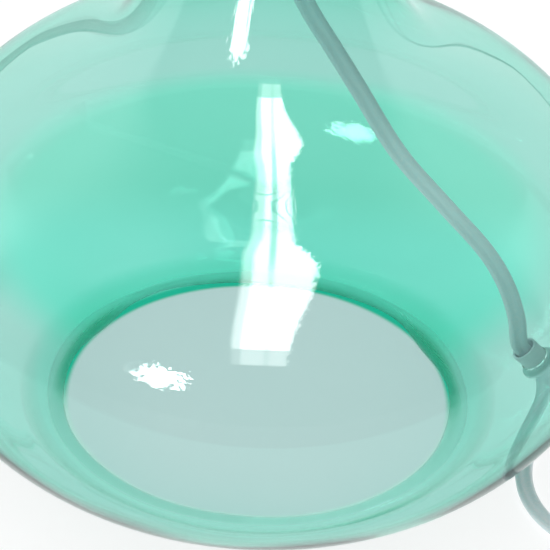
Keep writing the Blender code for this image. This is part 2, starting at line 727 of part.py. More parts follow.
def make_plug():
    body = box("plug_body", WHITE_PLASTIC, (PLUG_LENGTH, PLUG_WIDTH, PLUG_THICKNESS), PLUG, 0.0025)
    for vertex in body.data.vertices:
        if vertex.co.x > 0.0:
            vertex.co.y *= 0.36
            vertex.co.z *= 0.86
    face = PLUG.x - PLUG_LENGTH / 2
    along_x = (0.0, math.pi / 2, 0.0)
    inside = 0.012
    cut_box(body, "plug_flex", (0.0210, FLEX_WIDTH + 2 * GAP, FLEX_THICKNESS + 2 * GAP),
            (PLUG.x + PLUG_LENGTH / 2, PLUG.y, PLUG.z))
    for side, tag in ((-1, "a"), (1, "b")):
        y = PLUG.y + side * PIN_SPACING / 2
        cut_cylinder(body, "pin_" + tag, 0.0022, 2 * inside, (face, y, PLUG.z), along_x, sides=16)
        pin = lathe("plug_pin_" + tag, [
            (0.0, PIN_REACH), (0.0014, PIN_REACH - 0.0002), (0.0019, PIN_REACH - 0.0010),
            (0.0019, 0.0104), (0.0012, 0.0104), (0.0012, 0.0), (0.0018, 0.0), (0.0018, -0.0110), (0.0, -0.0110),
        ], NICKEL, 16, (face, y, PLUG.z))
        pin.rotation_euler = (0.0, -math.pi / 2, 0.0)
        sleeve = lathe("pin_sleeve_" + tag, ring_profile(0.0014, 0.0019, GAP, 0.0101), GREY_PVC, 16,
                       (face, y, PLUG.z))
        sleeve.rotation_euler = (0.0, -math.pi / 2, 0.0)


# ---------------------------------------------------------------- build

make_glass()
make_bush()
flat_flex("flex_lamp_side", *lamp_flex_path())
flat_flex("flex_plug_side", *plug_flex_path())
make_neck_fitting()
make_holder_cap()
make_holder_skirt()
make_shade_ring("shade_ring_lower", LOWER_RING_BOTTOM, 0.006, 6)
make_shade_ring("shade_ring_upper", UPPER_RING_BOTTOM, 0.008, 6)
make_socket()
make_switch_shells()
make_rocker()
make_contacts()
make_plug()

for piece in PARTS.objects:
    if piece.type == 'MESH' and piece.data.polygons:
        shade(piece)

# the footprint runs from the glass on the left to the switch on the right
footprint_right = SWITCH.x + SWITCH_WIDTH / 2
foot_of_axis = bpy.data.objects.new("foot_of_axis", None)
foot_of_axis.location.x = (GLASS_RADIUS - footprint_right) / 2
bpy.context.scene.collection.objects.link(foot_of_axis)
for obj in list(PARTS.objects) + list(CUTTERS.objects):
    if obj.parent is None:
        obj.parent = foot_of_axis
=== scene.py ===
"""Looks of the green glass table lamp base: fine surfaces, materials, studio and camera."""
import json
import math

import bmesh
import bpy
from mathutils import Matrix, Vector, noise


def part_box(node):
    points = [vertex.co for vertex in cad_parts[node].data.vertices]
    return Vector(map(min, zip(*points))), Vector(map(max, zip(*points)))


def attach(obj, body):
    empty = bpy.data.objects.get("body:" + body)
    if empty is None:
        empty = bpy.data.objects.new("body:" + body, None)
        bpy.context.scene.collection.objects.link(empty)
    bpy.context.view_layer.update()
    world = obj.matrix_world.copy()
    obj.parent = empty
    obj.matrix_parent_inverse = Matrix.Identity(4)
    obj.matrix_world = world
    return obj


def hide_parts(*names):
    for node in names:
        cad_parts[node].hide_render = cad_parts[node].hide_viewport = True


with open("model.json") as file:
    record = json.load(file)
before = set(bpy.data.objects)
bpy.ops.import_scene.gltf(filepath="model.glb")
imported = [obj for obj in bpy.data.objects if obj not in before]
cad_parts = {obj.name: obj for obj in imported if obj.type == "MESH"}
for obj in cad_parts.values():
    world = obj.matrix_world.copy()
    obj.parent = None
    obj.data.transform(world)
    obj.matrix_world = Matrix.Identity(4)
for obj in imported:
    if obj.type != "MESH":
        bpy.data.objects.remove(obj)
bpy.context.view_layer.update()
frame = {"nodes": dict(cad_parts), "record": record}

MM = 0.001
NODES = frame["nodes"]
GLASS_LOW, GLASS_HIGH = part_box("glass_body")
AXIS = Vector(((GLASS_LOW.x + GLASS_HIGH.x) / 2, (GLASS_LOW.y + GLASS_HIGH.y) / 2, 0.0))
GLASS_RADIUS = (GLASS_HIGH.x - GLASS_LOW.x) / 2
GLASS_HEIGHT = GLASS_HIGH.z
FOOT_RADIUS = 67.5 * MM       # outer edge of the ground foot


# ---- node helpers

class Graph:
    """Short-hand for building a node tree."""

    def __init__(self, tree):
        self.tree = tree
        tree.nodes.clear()

    def add(self, kind, **settings):
        """New node; inputs are given by name with spaces as underscores, as a value or a socket."""
        node = self.tree.nodes.new(kind)
        for key, value in settings.items():
            name = key.replace("_", " ")
            if name in node.inputs:
                self.feed(node.inputs[name], value)
            else:
                setattr(node, key, value)
        return node

    def feed(self, target, value):
        if isinstance(value, bpy.types.NodeSocket):
            self.tree.links.new(value, target)
        else:
            target.default_value = value

    def math(self, operation, a, b=None):
        node = self.add("ShaderNodeMath", operation=operation)
        self.feed(node.inputs[0], a)
        if b is not None:
            self.feed(node.inputs[1], b)
        return node.outputs[0]

    def plus(self, a, b):
        return self.math('ADD', a, b)

    def minus(self, a, b):
        return self.math('SUBTRACT', a, b)

    def times(self, a, b):
        return self.math('MULTIPLY', a, b)

    def at_least_one(self, depth):
        """1 where a light path has had one or more bounces of the counted kind, otherwise 0."""
        return self.math('GREATER_THAN', depth, 0.5)

    def vector_math(self, operation, a, b, result="Value"):
        node = self.add("ShaderNodeVectorMath", operation=operation)
        self.feed(node.inputs[0], a)
        self.feed(node.inputs[1], b)
        return node.outputs[result]

    def ramp(self, value, start, end, low=0.0, high=1.0):
        """Smooth step from low to high while value runs from start to end."""
        node = self.tree.nodes.new("ShaderNodeMapRange")
        node.interpolation_type = 'SMOOTHSTEP'
        for socket, item in zip(node.inputs, (value, start, end, low, high)):
            self.feed(socket, item)
        return node.outputs[0]

    def mix(self, factor, a, b):
        node = self.tree.nodes.new("ShaderNodeMix")
        node.data_type = 'RGBA'
        self.feed(node.inputs["Factor"], factor)
        for socket, item in zip((node.inputs[6], node.inputs[7]), (a, b)):
            self.feed(socket, item)
        return node.outputs[2]

    def blend(self, factor, a, b):
        """Float a where the factor is 0 and b where it is 1."""
        node = self.add("ShaderNodeMix", Factor=factor)
        self.feed(node.inputs[2], a)
        self.feed(node.inputs[3], b)
        return node.outputs[0]

    def noise(self, scale, detail=2.0, vector=None):
        node = self.add("ShaderNodeTexNoise", Scale=scale, Detail=detail)
        if vector is not None:
            self.feed(node.inputs["Vector"], vector)
        return node.outputs["Fac"]

    def object_coords(self, stretch=(1.0, 1.0, 1.0)):
        coords = self.add("ShaderNodeTexCoord").outputs["Object"]
        return self.add("ShaderNodeMapping", Vector=coords, Scale=stretch).outputs[0]


def rgba(colour):
    return (*colour, 1.0)


def new_material(name):
    mat = bpy.data.materials.new(name)
    mat.use_nodes = True
    return mat, Graph(mat.node_tree)


def finish_material(graph, shader, bump_height=None, strength=0.2, distance=0.0002):
    if bump_height is not None:
        bump = graph.add("ShaderNodeBump", Strength=strength, Distance=distance, Height=bump_height)
        graph.feed(shader.inputs["Normal"], bump.outputs[0])
    graph.add("ShaderNodeOutputMaterial", Surface=shader.outputs[0])


# ---- materials

# absorption of red, green and blue per metre: the tint times the density
GLASS_TINT = (1.56, 0.28, 0.49)
GLASS_DENSITY = 165.0
GROUND_ROUGHNESS = 1.0
GROUND_FADE = 4.5 * MM        # height over which the ground foot turns clear
GROUND_EDGE = 2.0 * MM        # the same outwards from the foot's edge


def green_glass():
    """Clear rippled glass, coloured by its depth, with a rough ground face under the foot."""
    mat, g = new_material("green_glass_fine")
    strongest = max(GLASS_TINT)
    colour = [1.0 - tint / strongest for tint in GLASS_TINT]
    ripple = g.noise(9.0, 1.0, g.object_coords((1.0, 1.0, 2.2)))
    position = g.add("ShaderNodeNewGeometry").outputs["Position"]
    height = g.add("ShaderNodeSeparateXYZ", Vector=position).outputs["Z"]
    shader = g.add("ShaderNodeBsdfPrincipled", Base_Color=rgba((1.0, 1.0, 1.0)), Roughness=0.0,
                   IOR=1.5, Transmission_Weight=1.0)
    on_floor = g.vector_math('MULTIPLY', position, (1.0, 1.0, 0.0), "Vector")
    reach = g.vector_math('DISTANCE', on_floor, AXIS)
    ground = g.times(g.ramp(height, 0.0, GROUND_FADE, GROUND_ROUGHNESS, 0.0),
                     g.ramp(reach, FOOT_RADIUS, FOOT_RADIUS + GROUND_EDGE, 1.0, 0.0))
    g.feed(shader.inputs["Roughness"], ground)
    bump = g.add("ShaderNodeBump", Strength=0.5, Distance=0.0006, Height=ripple)
    g.feed(shader.inputs["Normal"], bump.outputs[0])
    volume = g.add("ShaderNodeVolumeAbsorption", Color=rgba(colour),
                   Density=GLASS_DENSITY * strongest)
    g.add("ShaderNodeOutputMaterial", Surface=shader.outputs[0], Volume=volume.outputs[0])
    return mat


def clear_pvc():
    """Flexible jacket, cloudy and bluish white, that lets a little light through."""
    mat, g = new_material("clear_pvc_fine")
    cloud = g.noise(240.0, 3.0)
    tone = g.mix(g.ramp(cloud, 0.35, 0.65), rgba((0.84, 0.96, 1.0)), rgba((0.92, 0.98, 1.0)))
    shader = g.add("ShaderNodeBsdfPrincipled", Base_Color=tone, Roughness=0.14, IOR=1.42,
                   Transmission_Weight=0.06)
    finish_material(g, shader, cloud, 0.15, 0.0001)
    return mat


def stranded_copper():
    """Tinned copper strands laid in a twist."""
    mat, g = new_material("tinned_strands")
    wave = g.add("ShaderNodeTexWave", Scale=420.0, Distortion=1.5, Detail=1.0,
                 Vector=g.object_coords((1.0, 1.0, 0.6)))
    strands = wave.outputs["Fac"]
    tone = g.mix(strands, rgba((0.72, 0.79, 0.88)), rgba((0.92, 0.95, 1.0)))
    shader = g.add("ShaderNodeBsdfPrincipled", Base_Color=tone, Roughness=0.45, Metallic=0.25)
    finish_material(g, shader, strands, 0.5, 0.0002)
    return mat


def moulded_plastic(name, colour, roughness):
    """Satin moulded thermoplastic with faint mottling."""
    mat, g = new_material(name)
    grain = g.noise(900.0, 4.0)
    patch = g.ramp(g.noise(45.0, 3.0), 0.3, 0.7)
    darker = [c * 0.94 for c in colour]
    tone = g.mix(patch, rgba(darker), rgba(colour))
    rough = g.ramp(grain, 0.3, 0.7, roughness - 0.05, roughness + 0.07)
    shader = g.add("ShaderNodeBsdfPrincipled", Base_Color=tone, Roughness=rough)
    finish_material(g, shader, grain, 0.12, 0.00008)
    return mat


def brushed_metal(name, colour, roughness, stretch):
    """Metal with fine brush lines running across the stretched direction."""
    mat, g = new_material(name)
    lines = g.noise(60.0, 5.0, g.object_coords(stretch))
    dull = [c * 0.84 for c in colour]
    tone = g.mix(g.ramp(lines, 0.35, 0.65), rgba(dull), rgba(colour))
    rough = g.ramp(lines, 0.3, 0.7, roughness - 0.07, roughness + 0.10)
    shader = g.add("ShaderNodeBsdfPrincipled", Base_Color=tone, Roughness=rough, Metallic=1.0)
    finish_material(g, shader, lines, 0.15, 0.00006)
    return mat


def matt_rubber():
    mat, g = new_material("rubber_fine")
    grain = g.noise(1400.0, 3.0)
    patch = g.ramp(g.noise(80.0), 0.3, 0.7)
    tone = g.mix(patch, rgba((0.018, 0.018, 0.019)), rgba((0.036, 0.036, 0.037)))
    shader = g.add("ShaderNodeBsdfPrincipled", Base_Color=tone, Roughness=0.75)
    finish_material(g, shader, grain, 0.35, 0.0001)
    return mat


def glazed_porcelain():
    mat, g = new_material("porcelain_fine")
    speck = g.ramp(g.noise(700.0, 4.0), 0.62, 0.72)
    tone = g.mix(speck, rgba((0.88, 0.87, 0.83)), rgba((0.74, 0.70, 0.62)))
    shader = g.add("ShaderNodeBsdfPrincipled", Base_Color=tone, Roughness=0.18)
    g.feed(shader.inputs["Coat Weight"], 0.5)
    finish_material(g, shader, g.noise(90.0), 0.2, 0.0003)
    return mat


GLASS = green_glass()
PVC = clear_pvc()
STRANDS = stranded_copper()
WHITE = moulded_plastic("white_plastic_fine", (0.84, 0.84, 0.81), 0.36)
SLEEVE = moulded_plastic("sleeve_plastic_fine", (0.50, 0.51, 0.53), 0.42)
NICKEL = brushed_metal("nickel_fine", (0.68, 0.66, 0.62), 0.24, (1.0, 1.0, 30.0))
STEEL = brushed_metal("steel_fine", (0.60, 0.61, 0.63), 0.34, (6.0, 6.0, 6.0))
BRASS = brushed_metal("brass_fine", (0.80, 0.58, 0.24), 0.28, (4.0, 4.0, 12.0))
RUBBER = matt_rubber()
PORCELAIN = glazed_porcelain()

SLOT_LOOKS = {
    "green_glass": GLASS, "clear_pvc": PVC, "zinc_steel": STEEL, "brushed_nickel": NICKEL, "brass": BRASS,
    "black_rubber": RUBBER, "white_plastic": WHITE, "porcelain": PORCELAIN, "grey_pvc": SLEEVE,
}


# ---- mesh helpers

def new_object(name, data):
    obj = bpy.data.objects.new(name, data)
    bpy.context.scene.collection.objects.link(obj)
    return obj


def mesh_object(name, verts, faces, mat, sharp=40.0):
    """Smooth-shaded object whose edges stay sharp above the given angle in degrees."""
    mesh = bpy.data.meshes.new(name)
    mesh.from_pydata(verts, [], faces)
    mesh.materials.append(mat)
    bm = bmesh.new()
    bm.from_mesh(mesh)
    bmesh.ops.remove_doubles(bm, verts=bm.verts, dist=1e-7)
    bmesh.ops.recalc_face_normals(bm, faces=bm.faces)
    bm.to_mesh(mesh)
    bm.free()
    mesh.shade_smooth()
    mesh.set_sharp_from_angle(angle=math.radians(sharp))
    return new_object(name, mesh)


def place(obj, body="lamp"):
    """Parents an object to its body's empty and hides the CAD piece it is the fine form of."""
    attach(obj, body)
    node = obj.name.removesuffix("_fine")
    if node in NODES:
        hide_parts(node)


def span(node):
    """Bottom, top and outer radius of a turned piece, read from its CAD box."""
    low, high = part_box(node)
    return low.z, high.z, (high.x - low.x) / 2


def bezier(p0, p1, p2, p3, count):
    """Points of a cubic curve, without its first point."""
    points = []
    for i in range(1, count + 1):
        t = i / count
        s = 1.0 - t
        weights = (s * s * s, 3 * s * s * t, 3 * s * t * t, t * t * t)
        points.append(Vector([
            sum(w * p[k] for w, p in zip(weights, (p0, p1, p2, p3))) for k in range(len(p0))
        ]))
    return points


def polar(radius, azimuth, height):
    return Vector((radius * math.cos(azimuth), radius * math.sin(azimuth), height))


def rounded(corners, radius, steps=4):
    """Closed outline with every corner replaced by an arc of at most the given radius."""
    points = [Vector(c) for c in corners]
    line = []
    for i, corner in enumerate(points):
        before = points[i - 1] - corner
        after = points[(i + 1) % len(points)] - corner
        reach = min(radius, 0.45 * before.length, 0.45 * after.length)
        start = corner + before.normalized() * reach
        end = corner + after.normalized() * reach
        line.append(start)
        line += bezier(start, start.lerp(corner, 0.55), end.lerp(corner, 0.55), end, steps)
    return line


def lattice(rows, wrap_rows=True):
    """Faces between rings of points: every ring is closed, and the rows may close as well."""
    count = len(rows[0])
    verts = [point for row in rows for point in row]
    faces = []
    last = len(rows) if wrap_rows else len(rows) - 1
    for r in range(last):
        below = (r + 1) % len(rows)
        for i in range(count):
            j = (i + 1) % count
            faces.append((r * count + i, r * count + j, below * count + j, below * count + i))
    if not wrap_rows:
        faces.append(tuple(range(count)))
        faces.append(tuple((len(rows) - 1) * count + i for i in range(count)))
    return verts, faces


def turned(name, outline, mat, segments=96, centre=None, turn=None, change=None):
    """Turned ring or solid from a closed (radius, height) outline; change(radius, height, azimuth)
    may move the radius."""
    middle = AXIS if centre is None else centre
    rows = []
    for s in range(segments):
        azimuth = math.tau * s / segments
        row = []
        for radius, height in outline:
            if change is not None:
                radius = change(radius, height, azimuth)
            point = polar(max(radius, 0.0), azimuth, height)
            if turn is not None:
                point = turn @ point
            row.append(point + middle)
        rows.append(row)
    verts, faces = lattice(rows)
    return mesh_object(name, verts, faces, mat)


def ring(inner, outer, bottom, top):
    """Outline of a plain tube."""
    return [(outer, top), (outer, bottom), (inner, bottom), (inner, top)]


def cylinder_between(start, end, radius, segments=32):
    """Mesh of a round bar, used as a drill."""
    mesh = bpy.data.meshes.new("drill")
    bm = bmesh.new()
    along = end - start
    turn = along.to_track_quat('Z', 'Y').to_matrix().to_4x4()
    bmesh.ops.create_cone(bm, cap_ends=True, segments=segments, radius1=radius, radius2=radius,
                          depth=along.length, matrix=Matrix.Translation((start + end) / 2) @ turn)
    bm.to_mesh(mesh)
    bm.free()
    return mesh


def block(low, high):
    """Mesh of a box between two corners, used as a cutter."""
    mesh = bpy.data.meshes.new("cutter")
    bm = bmesh.new()
    bmesh.ops.create_cube(bm, size=1.0)
    bmesh.ops.scale(bm, vec=high - low, verts=bm.verts)
    bmesh.ops.translate(bm, vec=(high + low) / 2, verts=bm.verts)
    bm.to_mesh(mesh)
    bm.free()
    return mesh


def carve(obj, cutters, sharp=40.0):
    """Cuts the cutters out of the object for good and drops them."""
    tools = []
    for mesh in cutters:
        tool = new_object(mesh.name, mesh)
        modifier = obj.modifiers.new(mesh.name, 'BOOLEAN')
        modifier.object = tool
        modifier.solver = 'EXACT'
        tools.append(tool)
    depsgraph = bpy.context.evaluated_depsgraph_get()
    cut = bpy.data.meshes.new_from_object(obj.evaluated_get(depsgraph))
    obj.modifiers.clear()
    obj.data = cut
    cut.shade_smooth()
    cut.set_sharp_from_angle(angle=math.radians(sharp))
    for tool in tools:
        bpy.data.objects.remove(tool)
    return obj


# ---- glass

BELLY_HEIGHT = 60.6 * MM
BELLY_RISE = 76.3 * MM
NECK_RADIUS = 22.0 * MM
NECK_START = 193.4 * MM
FLARE_TOP = Vector((26.0, 176.2)) * MM
FLARE_SLOPE = math.radians(24.4)
FLARE_REACH = 46.0 * MM       # how far the flare keeps its slope
SHOULDER_RADIUS = 76.0 * MM
SHOULDER_REACH = 37.1 * MM    # how far the shoulder keeps the belly's slope
HEEL_HEIGHT = 9.0 * MM
FOOT_WIDTH = 4.5 * MM
LIP_HEIGHT = 2.0 * MM
GLASS_SEGMENTS = 240
THIN_WALL = 1.0 * MM          # at the shoulder
LOW_WALL = 1.5 * MM           # above the foot
NECK_WALL = 2.4 * MM
INNER_FOOT = 5.0 * MM         # where the inner wall leaves the thick foot
HOLE_AZIMUTH = math.radians(5.0)
HOLE_DIP = math.radians(48.0)
HOLE_CENTRE = polar(89.3 * MM, HOLE_AZIMUTH, 14.4 * MM)
HOLE_RADIUS = 4.6 * MM

# hand-made unevenness of the foot's inner edge: (azimuth, half width in degrees, millimetres)
FOOT_WAVES = (
    (27.0, 12.0, -2.6), (50.0, 14.0, 1.0), (122.0, 17.0, 2.4), (148.0, 10.0, -2.0),
    (205.0, 20.0, 0.5), (300.0, 22.0, 0.6), (345.0, 15.0, -0.5),
)
# extra height of the foot's inner face, in the same form
FOOT_RISES = ((32.0, 24.0, 1.1), (148.0, 24.0, 0.9), (90.0, 24.0, 0.4))
WAVE_FADE = 9 * MM            # height over which the unevenness of the inner edge dies out
FACE_MIDDLE = 3 * MM          # middle height and spread of the foot's inner face
FACE_SPREAD = 2.2 * MM
FRONT_SAG = 1.6 * MM          # how much lower that face is at the front
INNER_RIPPLE = 0.2 * MM       # waviness of the inner wall
RIPPLE_SCALE = 26.0


def belly_direction(radius, height):
    """Direction of the belly's ellipse at a point, going down."""
    slope = (GLASS_RADIUS / BELLY_RISE) ** 2 * (height - BELLY_HEIGHT) / radius
    return Vector((slope, -1.0)).normalized()


def glass_outline():
    """Outer line of the glass as (radius, height), from the neck rim down to the foot."""
    rise = math.sqrt(1.0 - (SHOULDER_RADIUS / GLASS_RADIUS) ** 2)
    shoulder = Vector((SHOULDER_RADIUS, BELLY_HEIGHT + BELLY_RISE * rise))
    slope = Vector((math.sin(FLARE_SLOPE), -math.cos(FLARE_SLOPE)))
    neck_foot = Vector((NECK_RADIUS, NECK_START))
    rim = GLASS_HEIGHT - LIP_HEIGHT
    line = [Vector((NECK_RADIUS, rim + (NECK_START - rim) * i / 4)) for i in range(5)]
    line += bezier(neck_foot, neck_foot - Vector((0.0, 6 * MM)),
                   FLARE_TOP - slope * 7 * MM, FLARE_TOP, 8)
    line += bezier(FLARE_TOP, FLARE_TOP + slope * FLARE_REACH,
                   shoulder - belly_direction(*shoulder) * SHOULDER_REACH, shoulder, 32)
    start = math.asin((shoulder.y - BELLY_HEIGHT) / BELLY_RISE)
    end = math.asin((HEEL_HEIGHT - BELLY_HEIGHT) / BELLY_RISE)
    for i in range(1, 61):
        angle = start + (end - start) * i / 60
        height = BELLY_HEIGHT + BELLY_RISE * math.sin(angle)
        line.append(Vector((GLASS_RADIUS * math.cos(angle), height)))
    heel = line[-1]
    foot_edge = Vector((FOOT_RADIUS, 0.0))
    line += bezier(heel, heel + belly_direction(*heel) * 10 * MM,
                   foot_edge + Vector((5 * MM, 0.6 * MM)), foot_edge, 10)
    return line


def wall_at(height):
    """Wall thickness: heavier near the foot and in the neck, thin at the shoulder."""
    low = 1.0 / (1.0 + math.exp((height - 45 * MM) / (12 * MM)))
    neck = 1.0 / (1.0 + math.exp((165 * MM - height) / (8 * MM)))
    return THIN_WALL + (LOW_WALL - THIN_WALL) * low + (NECK_WALL - THIN_WALL) * neck


def inner_line(outer):
    """Inner wall, from the foot up to the neck."""
    line = []
    for before, point, after in zip(outer, outer[1:], outer[2:]):
        along = after - before
        inward = Vector((along.y, -along.x)).normalized()
        moved = point + inward * wall_at(point.y)
        if moved.y > INNER_FOOT:
            line.append(moved)
    return line[::-1]


def waves(table, azimuth):
    """Sum of the bumps of an unevenness table at an azimuth."""
    degrees = math.degrees(azimuth) % 360.0
    total = 0.0
    for centre, width, amount in table:
        away = (degrees - centre + 180.0) % 360.0 - 180.0
        total += amount * MM * math.exp(-(away / width) ** 2)
    return total


def glass_profile():
    """Outer line, then the foot's ground face and inner face, then the inner line and the rim."""
    outer = glass_outline()
    wall = wall_at(GLASS_HEIGHT)
    edge = Vector((FOOT_RADIUS - FOOT_WIDTH, 0.0))
    inner = inner_line(outer)
    joint = inner[0]
    foot = [edge + Vector(step) * MM for step in ((0.8, 0.0), (0.2, 0.25), (0.0, 0.8))]
    foot += bezier(foot[-1], edge + Vector((0.0, 3.4 * MM)),
                   joint + (joint - inner[1]).normalized() * 4 * MM, joint, 12)[:-1]
    rim_inner = Vector((NECK_RADIUS - wall, GLASS_HEIGHT - LIP_HEIGHT))
    rim_outer = Vector((NECK_RADIUS, GLASS_HEIGHT - LIP_HEIGHT))
    up = Vector((0.0, LIP_HEIGHT * 1.3))
    lip = [rim_inner] + bezier(rim_inner, rim_inner + up, rim_outer + up, rim_outer, 8)[:-1]
    return outer, foot, inner + lip


def inner_point(radius, azimuth, height):
    """Point of the foot or the inner wall, with the unevenness of hand-made glass."""
    near_foot = math.exp(-height / WAVE_FADE)
    face = math.exp(-((height - FACE_MIDDLE) / FACE_SPREAD) ** 2)
    lift = (waves(FOOT_RISES, azimuth) - FRONT_SAG * max(0.0, -math.sin(azimuth))) * face
    point = polar(radius + waves(FOOT_WAVES, azimuth) * near_foot, azimuth, height + lift)
    ripple = INNER_RIPPLE * min(1.0, max(0.0, (height - 4 * MM) / (10 * MM)))
    return point + polar(ripple, azimuth, 0.0) * noise.noise(point * RIPPLE_SCALE)


def make_glass():
    outer, foot, inner = glass_profile()
    rows = []
    for s in range(GLASS_SEGMENTS):
        azimuth = math.tau * s / GLASS_SEGMENTS
        row = [polar(radius, azimuth, height) for radius, height in outer]
        row += [inner_point(radius, azimuth, height) for radius, height in foot + inner]
        rows.append([point + AXIS for point in row])
    verts, faces = lattice(rows)
    glass = mesh_object("glass_body_fine", verts, faces, GLASS, 50.0)
    along = hole_direction() * 12 * MM
    middle = HOLE_CENTRE + AXIS
    carve(glass, [cylinder_between(middle - along, middle + along, HOLE_RADIUS, 48)], 50.0)
    place(glass)


def hole_direction():
    """Outward and down along the drilled cord hole."""
    return polar(math.cos(HOLE_DIP), HOLE_AZIMUTH, -math.sin(HOLE_DIP))


def make_bush():
    """Clear bush in the cord hole with a rounded collar outside."""
    barrel = HOLE_RADIUS - 0.3 * MM
    outer_end, inner_end = 4.2 * MM, -5.8 * MM
    bore = 3.5 * MM
    outline = rounded([
        (6.2 * MM, outer_end), (6.2 * MM, outer_end - 1.5 * MM), (barrel, outer_end - 1.8 * MM),
        (barrel, inner_end), (bore, inner_end), (bore, outer_end),
    ], 0.6 * MM)
    turn = hole_direction().to_track_quat('Z', 'Y').to_matrix()
    bush = turned("cord_bush_fine", outline, PVC, 64, HOLE_CENTRE + AXIS, turn)
    place(bush)


# ---- flex

FLEX_WIDTH = 5.6 * MM
FLEX_THICKNESS = 2.8 * MM
GAP = 0.3 * MM
COIL_CENTRE = Vector((184.0, -38.0)) * MM
COIL_RADIUS = 42.0 * MM
COIL_TURNS = 2.25
COIL_PITCH = 3.2 * MM
SWITCH_LOW, SWITCH_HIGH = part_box("switch_lower_shell")
SWITCH = Vector(((SWITCH_LOW.x + SWITCH_HIGH.x) / 2, (SWITCH_LOW.y + SWITCH_HIGH.y) / 2, 0.0))
SWITCH_LENGTH = SWITCH_HIGH.y - SWITCH_LOW.y
SWITCH_WIDTH = SWITCH_HIGH.x - SWITCH_LOW.x
SWITCH_SPLIT = SWITCH_HIGH.z
FLEX_IN_SWITCH = SWITCH_SPLIT + GAP / 2
FLEX_HELD = 12.5 * MM         # length of flex inside each end of the switch
STRAND_LAY = 11.0 * MM        # length of one turn of the strands
STRAND_STEP = 1.4 * MM
JACKET_STEP = 2.2 * MM
PLUG_LOW, PLUG_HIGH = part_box("plug_body")
PLUG = (PLUG_LOW + PLUG_HIGH) / 2


def smooth_chain(waypoints, per_span):
    """Catmull-Rom chain through the waypoints."""
    padded = [waypoints[0] * 2 - waypoints[1]] + list(waypoints) + [waypoints[-1] * 2 - waypoints[-2]]
    chain = [waypoints[0].copy()]
    for a, b, c, d in zip(padded, padded[1:], padded[2:], padded[3:]):
        chain += bezier(b, b + (c - a) / 6, c - (d - b) / 6, c, per_span)
    return chain


def inside_run():
    """Waypoints of the flex from the threaded tube to the cord hole."""
    reach_height = [
        (0.1, 236), (0.2, 205), (0.4, 172), (3.2, 162), (10, 147), (18, 133), (26, 119), (40, 95),
        (56, 75), (70, 58), (77.5, 45), (82, 32),
    ]
    return [polar(reach * MM, HOLE_AZIMUTH, height * MM) for reach, height in reach_height]


def lamp_flex_path():
    """Points of the flex and how far it has turned from upright to lying flat at each."""
    along = hole_direction()
    low = FLEX_THICKNESS / 2 + GAP
    inside = inside_run() + [HOLE_CENTRE - along * 7.5 * MM, HOLE_CENTRE, HOLE_CENTRE + along * 5.0 * MM]
    bend = [Vector(p) * MM for p in ((93.5, 5.5, 6.0), (93.3, -1.0, 3.3), (90.5, -10.0, low / MM))]
    table = [Vector((x * MM, y * MM, low)) for x, y in (
        (87.0, -22.0), (84.8, -35.0), (86.2, -48.0), (92.5, -60.0), (105.0, -70.0), (125.0, -76.0),
        (150.0, -79.5))]
    per_span = 8
    chain = smooth_chain(inside + bend + table, per_span)
    upright = per_span * (len(inside) - 1)
    flat_from = per_span * (len(inside) + len(bend) - 1)
    flat = [min(max((i - upright) / (flat_from - upright), 0.0), 1.0) for i in range(len(chain))]
    chain = [point + AXIS for point in chain]

    coil_steps = round(60 * COIL_TURNS)
    centre = Vector((COIL_CENTRE.x, COIL_CENTRE.y, low)) + AXIS
    for i in range(1, coil_steps + 1):
        angle = -math.pi / 2 + math.tau * COIL_TURNS * i / coil_steps
        rise = COIL_PITCH * COIL_TURNS * i / coil_steps
        chain.append(centre + polar(COIL_RADIUS, angle, rise))
    entry = SWITCH.y - SWITCH_LENGTH / 2
    tail = ((entry - 16 * MM, 9.2 * MM), (entry, FLEX_IN_SWITCH), (entry + FLEX_HELD, FLEX_IN_SWITCH))
    chain += [Vector((SWITCH.x, y, height)) for y, height in tail]
    return chain, flat + [1.0] * (len(chain) - len(flat))


def plug_flex_path():
    """Points of the flex from the switch, in a quarter turn, into the plug; it lies flat."""
    exit_y = SWITCH.y + SWITCH_LENGTH / 2
    radius = PLUG.y - exit_y - 4 * MM
    chain = [Vector((SWITCH.x, exit_y - FLEX_HELD, FLEX_IN_SWITCH)),
             Vector((SWITCH.x, exit_y, FLEX_IN_SWITCH))]
    centre = Vector((SWITCH.x - radius, PLUG.y - radius, 0.0))
    for i in range(33):
        height = FLEX_IN_SWITCH + (PLUG.z - FLEX_IN_SWITCH) * i / 32
        chain.append(centre + polar(radius, math.pi / 2 * i / 32, height))
    chain.append(Vector((PLUG_HIGH.x, PLUG.y, PLUG.z)))
    chain.append(Vector((PLUG_HIGH.x - 10 * MM, PLUG.y, PLUG.z)))
    return chain, [1.0] * len(chain)


def even_steps(chain, flat, step):
    """The chain walked in equal steps, as (point, tangent, wide direction) frames."""
    reach = [0.0]
    for a, b in zip(chain, chain[1:]):
        reach.append(reach[-1] + (b - a).length)
    count = max(2, round(reach[-1] / step))
    spots, i = [], 0
    for k in range(count + 1):
        want = reach[-1] * k / count
        while i < len(reach) - 2 and reach[i + 1] < want:
            i += 1
        share = (want - reach[i]) / max(reach[i + 1] - reach[i], 1e-9)
        spots.append((chain[i].lerp(chain[i + 1], share), flat[i] + (flat[i + 1] - flat[i]) * share))
    frames = []
    side_on = Vector((math.sin(HOLE_AZIMUTH), -math.cos(HOLE_AZIMUTH), 0.0))
    for k, (point, lying) in enumerate(spots):
        tangent = (spots[min(k + 1, count)][0] - spots[max(k - 1, 0)][0]).normalized()
        facing = side_on * (1.0 - lying) + Vector((0.0, 0.0, 1.0)) * lying
        wide = tangent.cross(facing).normalized()
        frames.append((point, tangent, wide))
    return frames


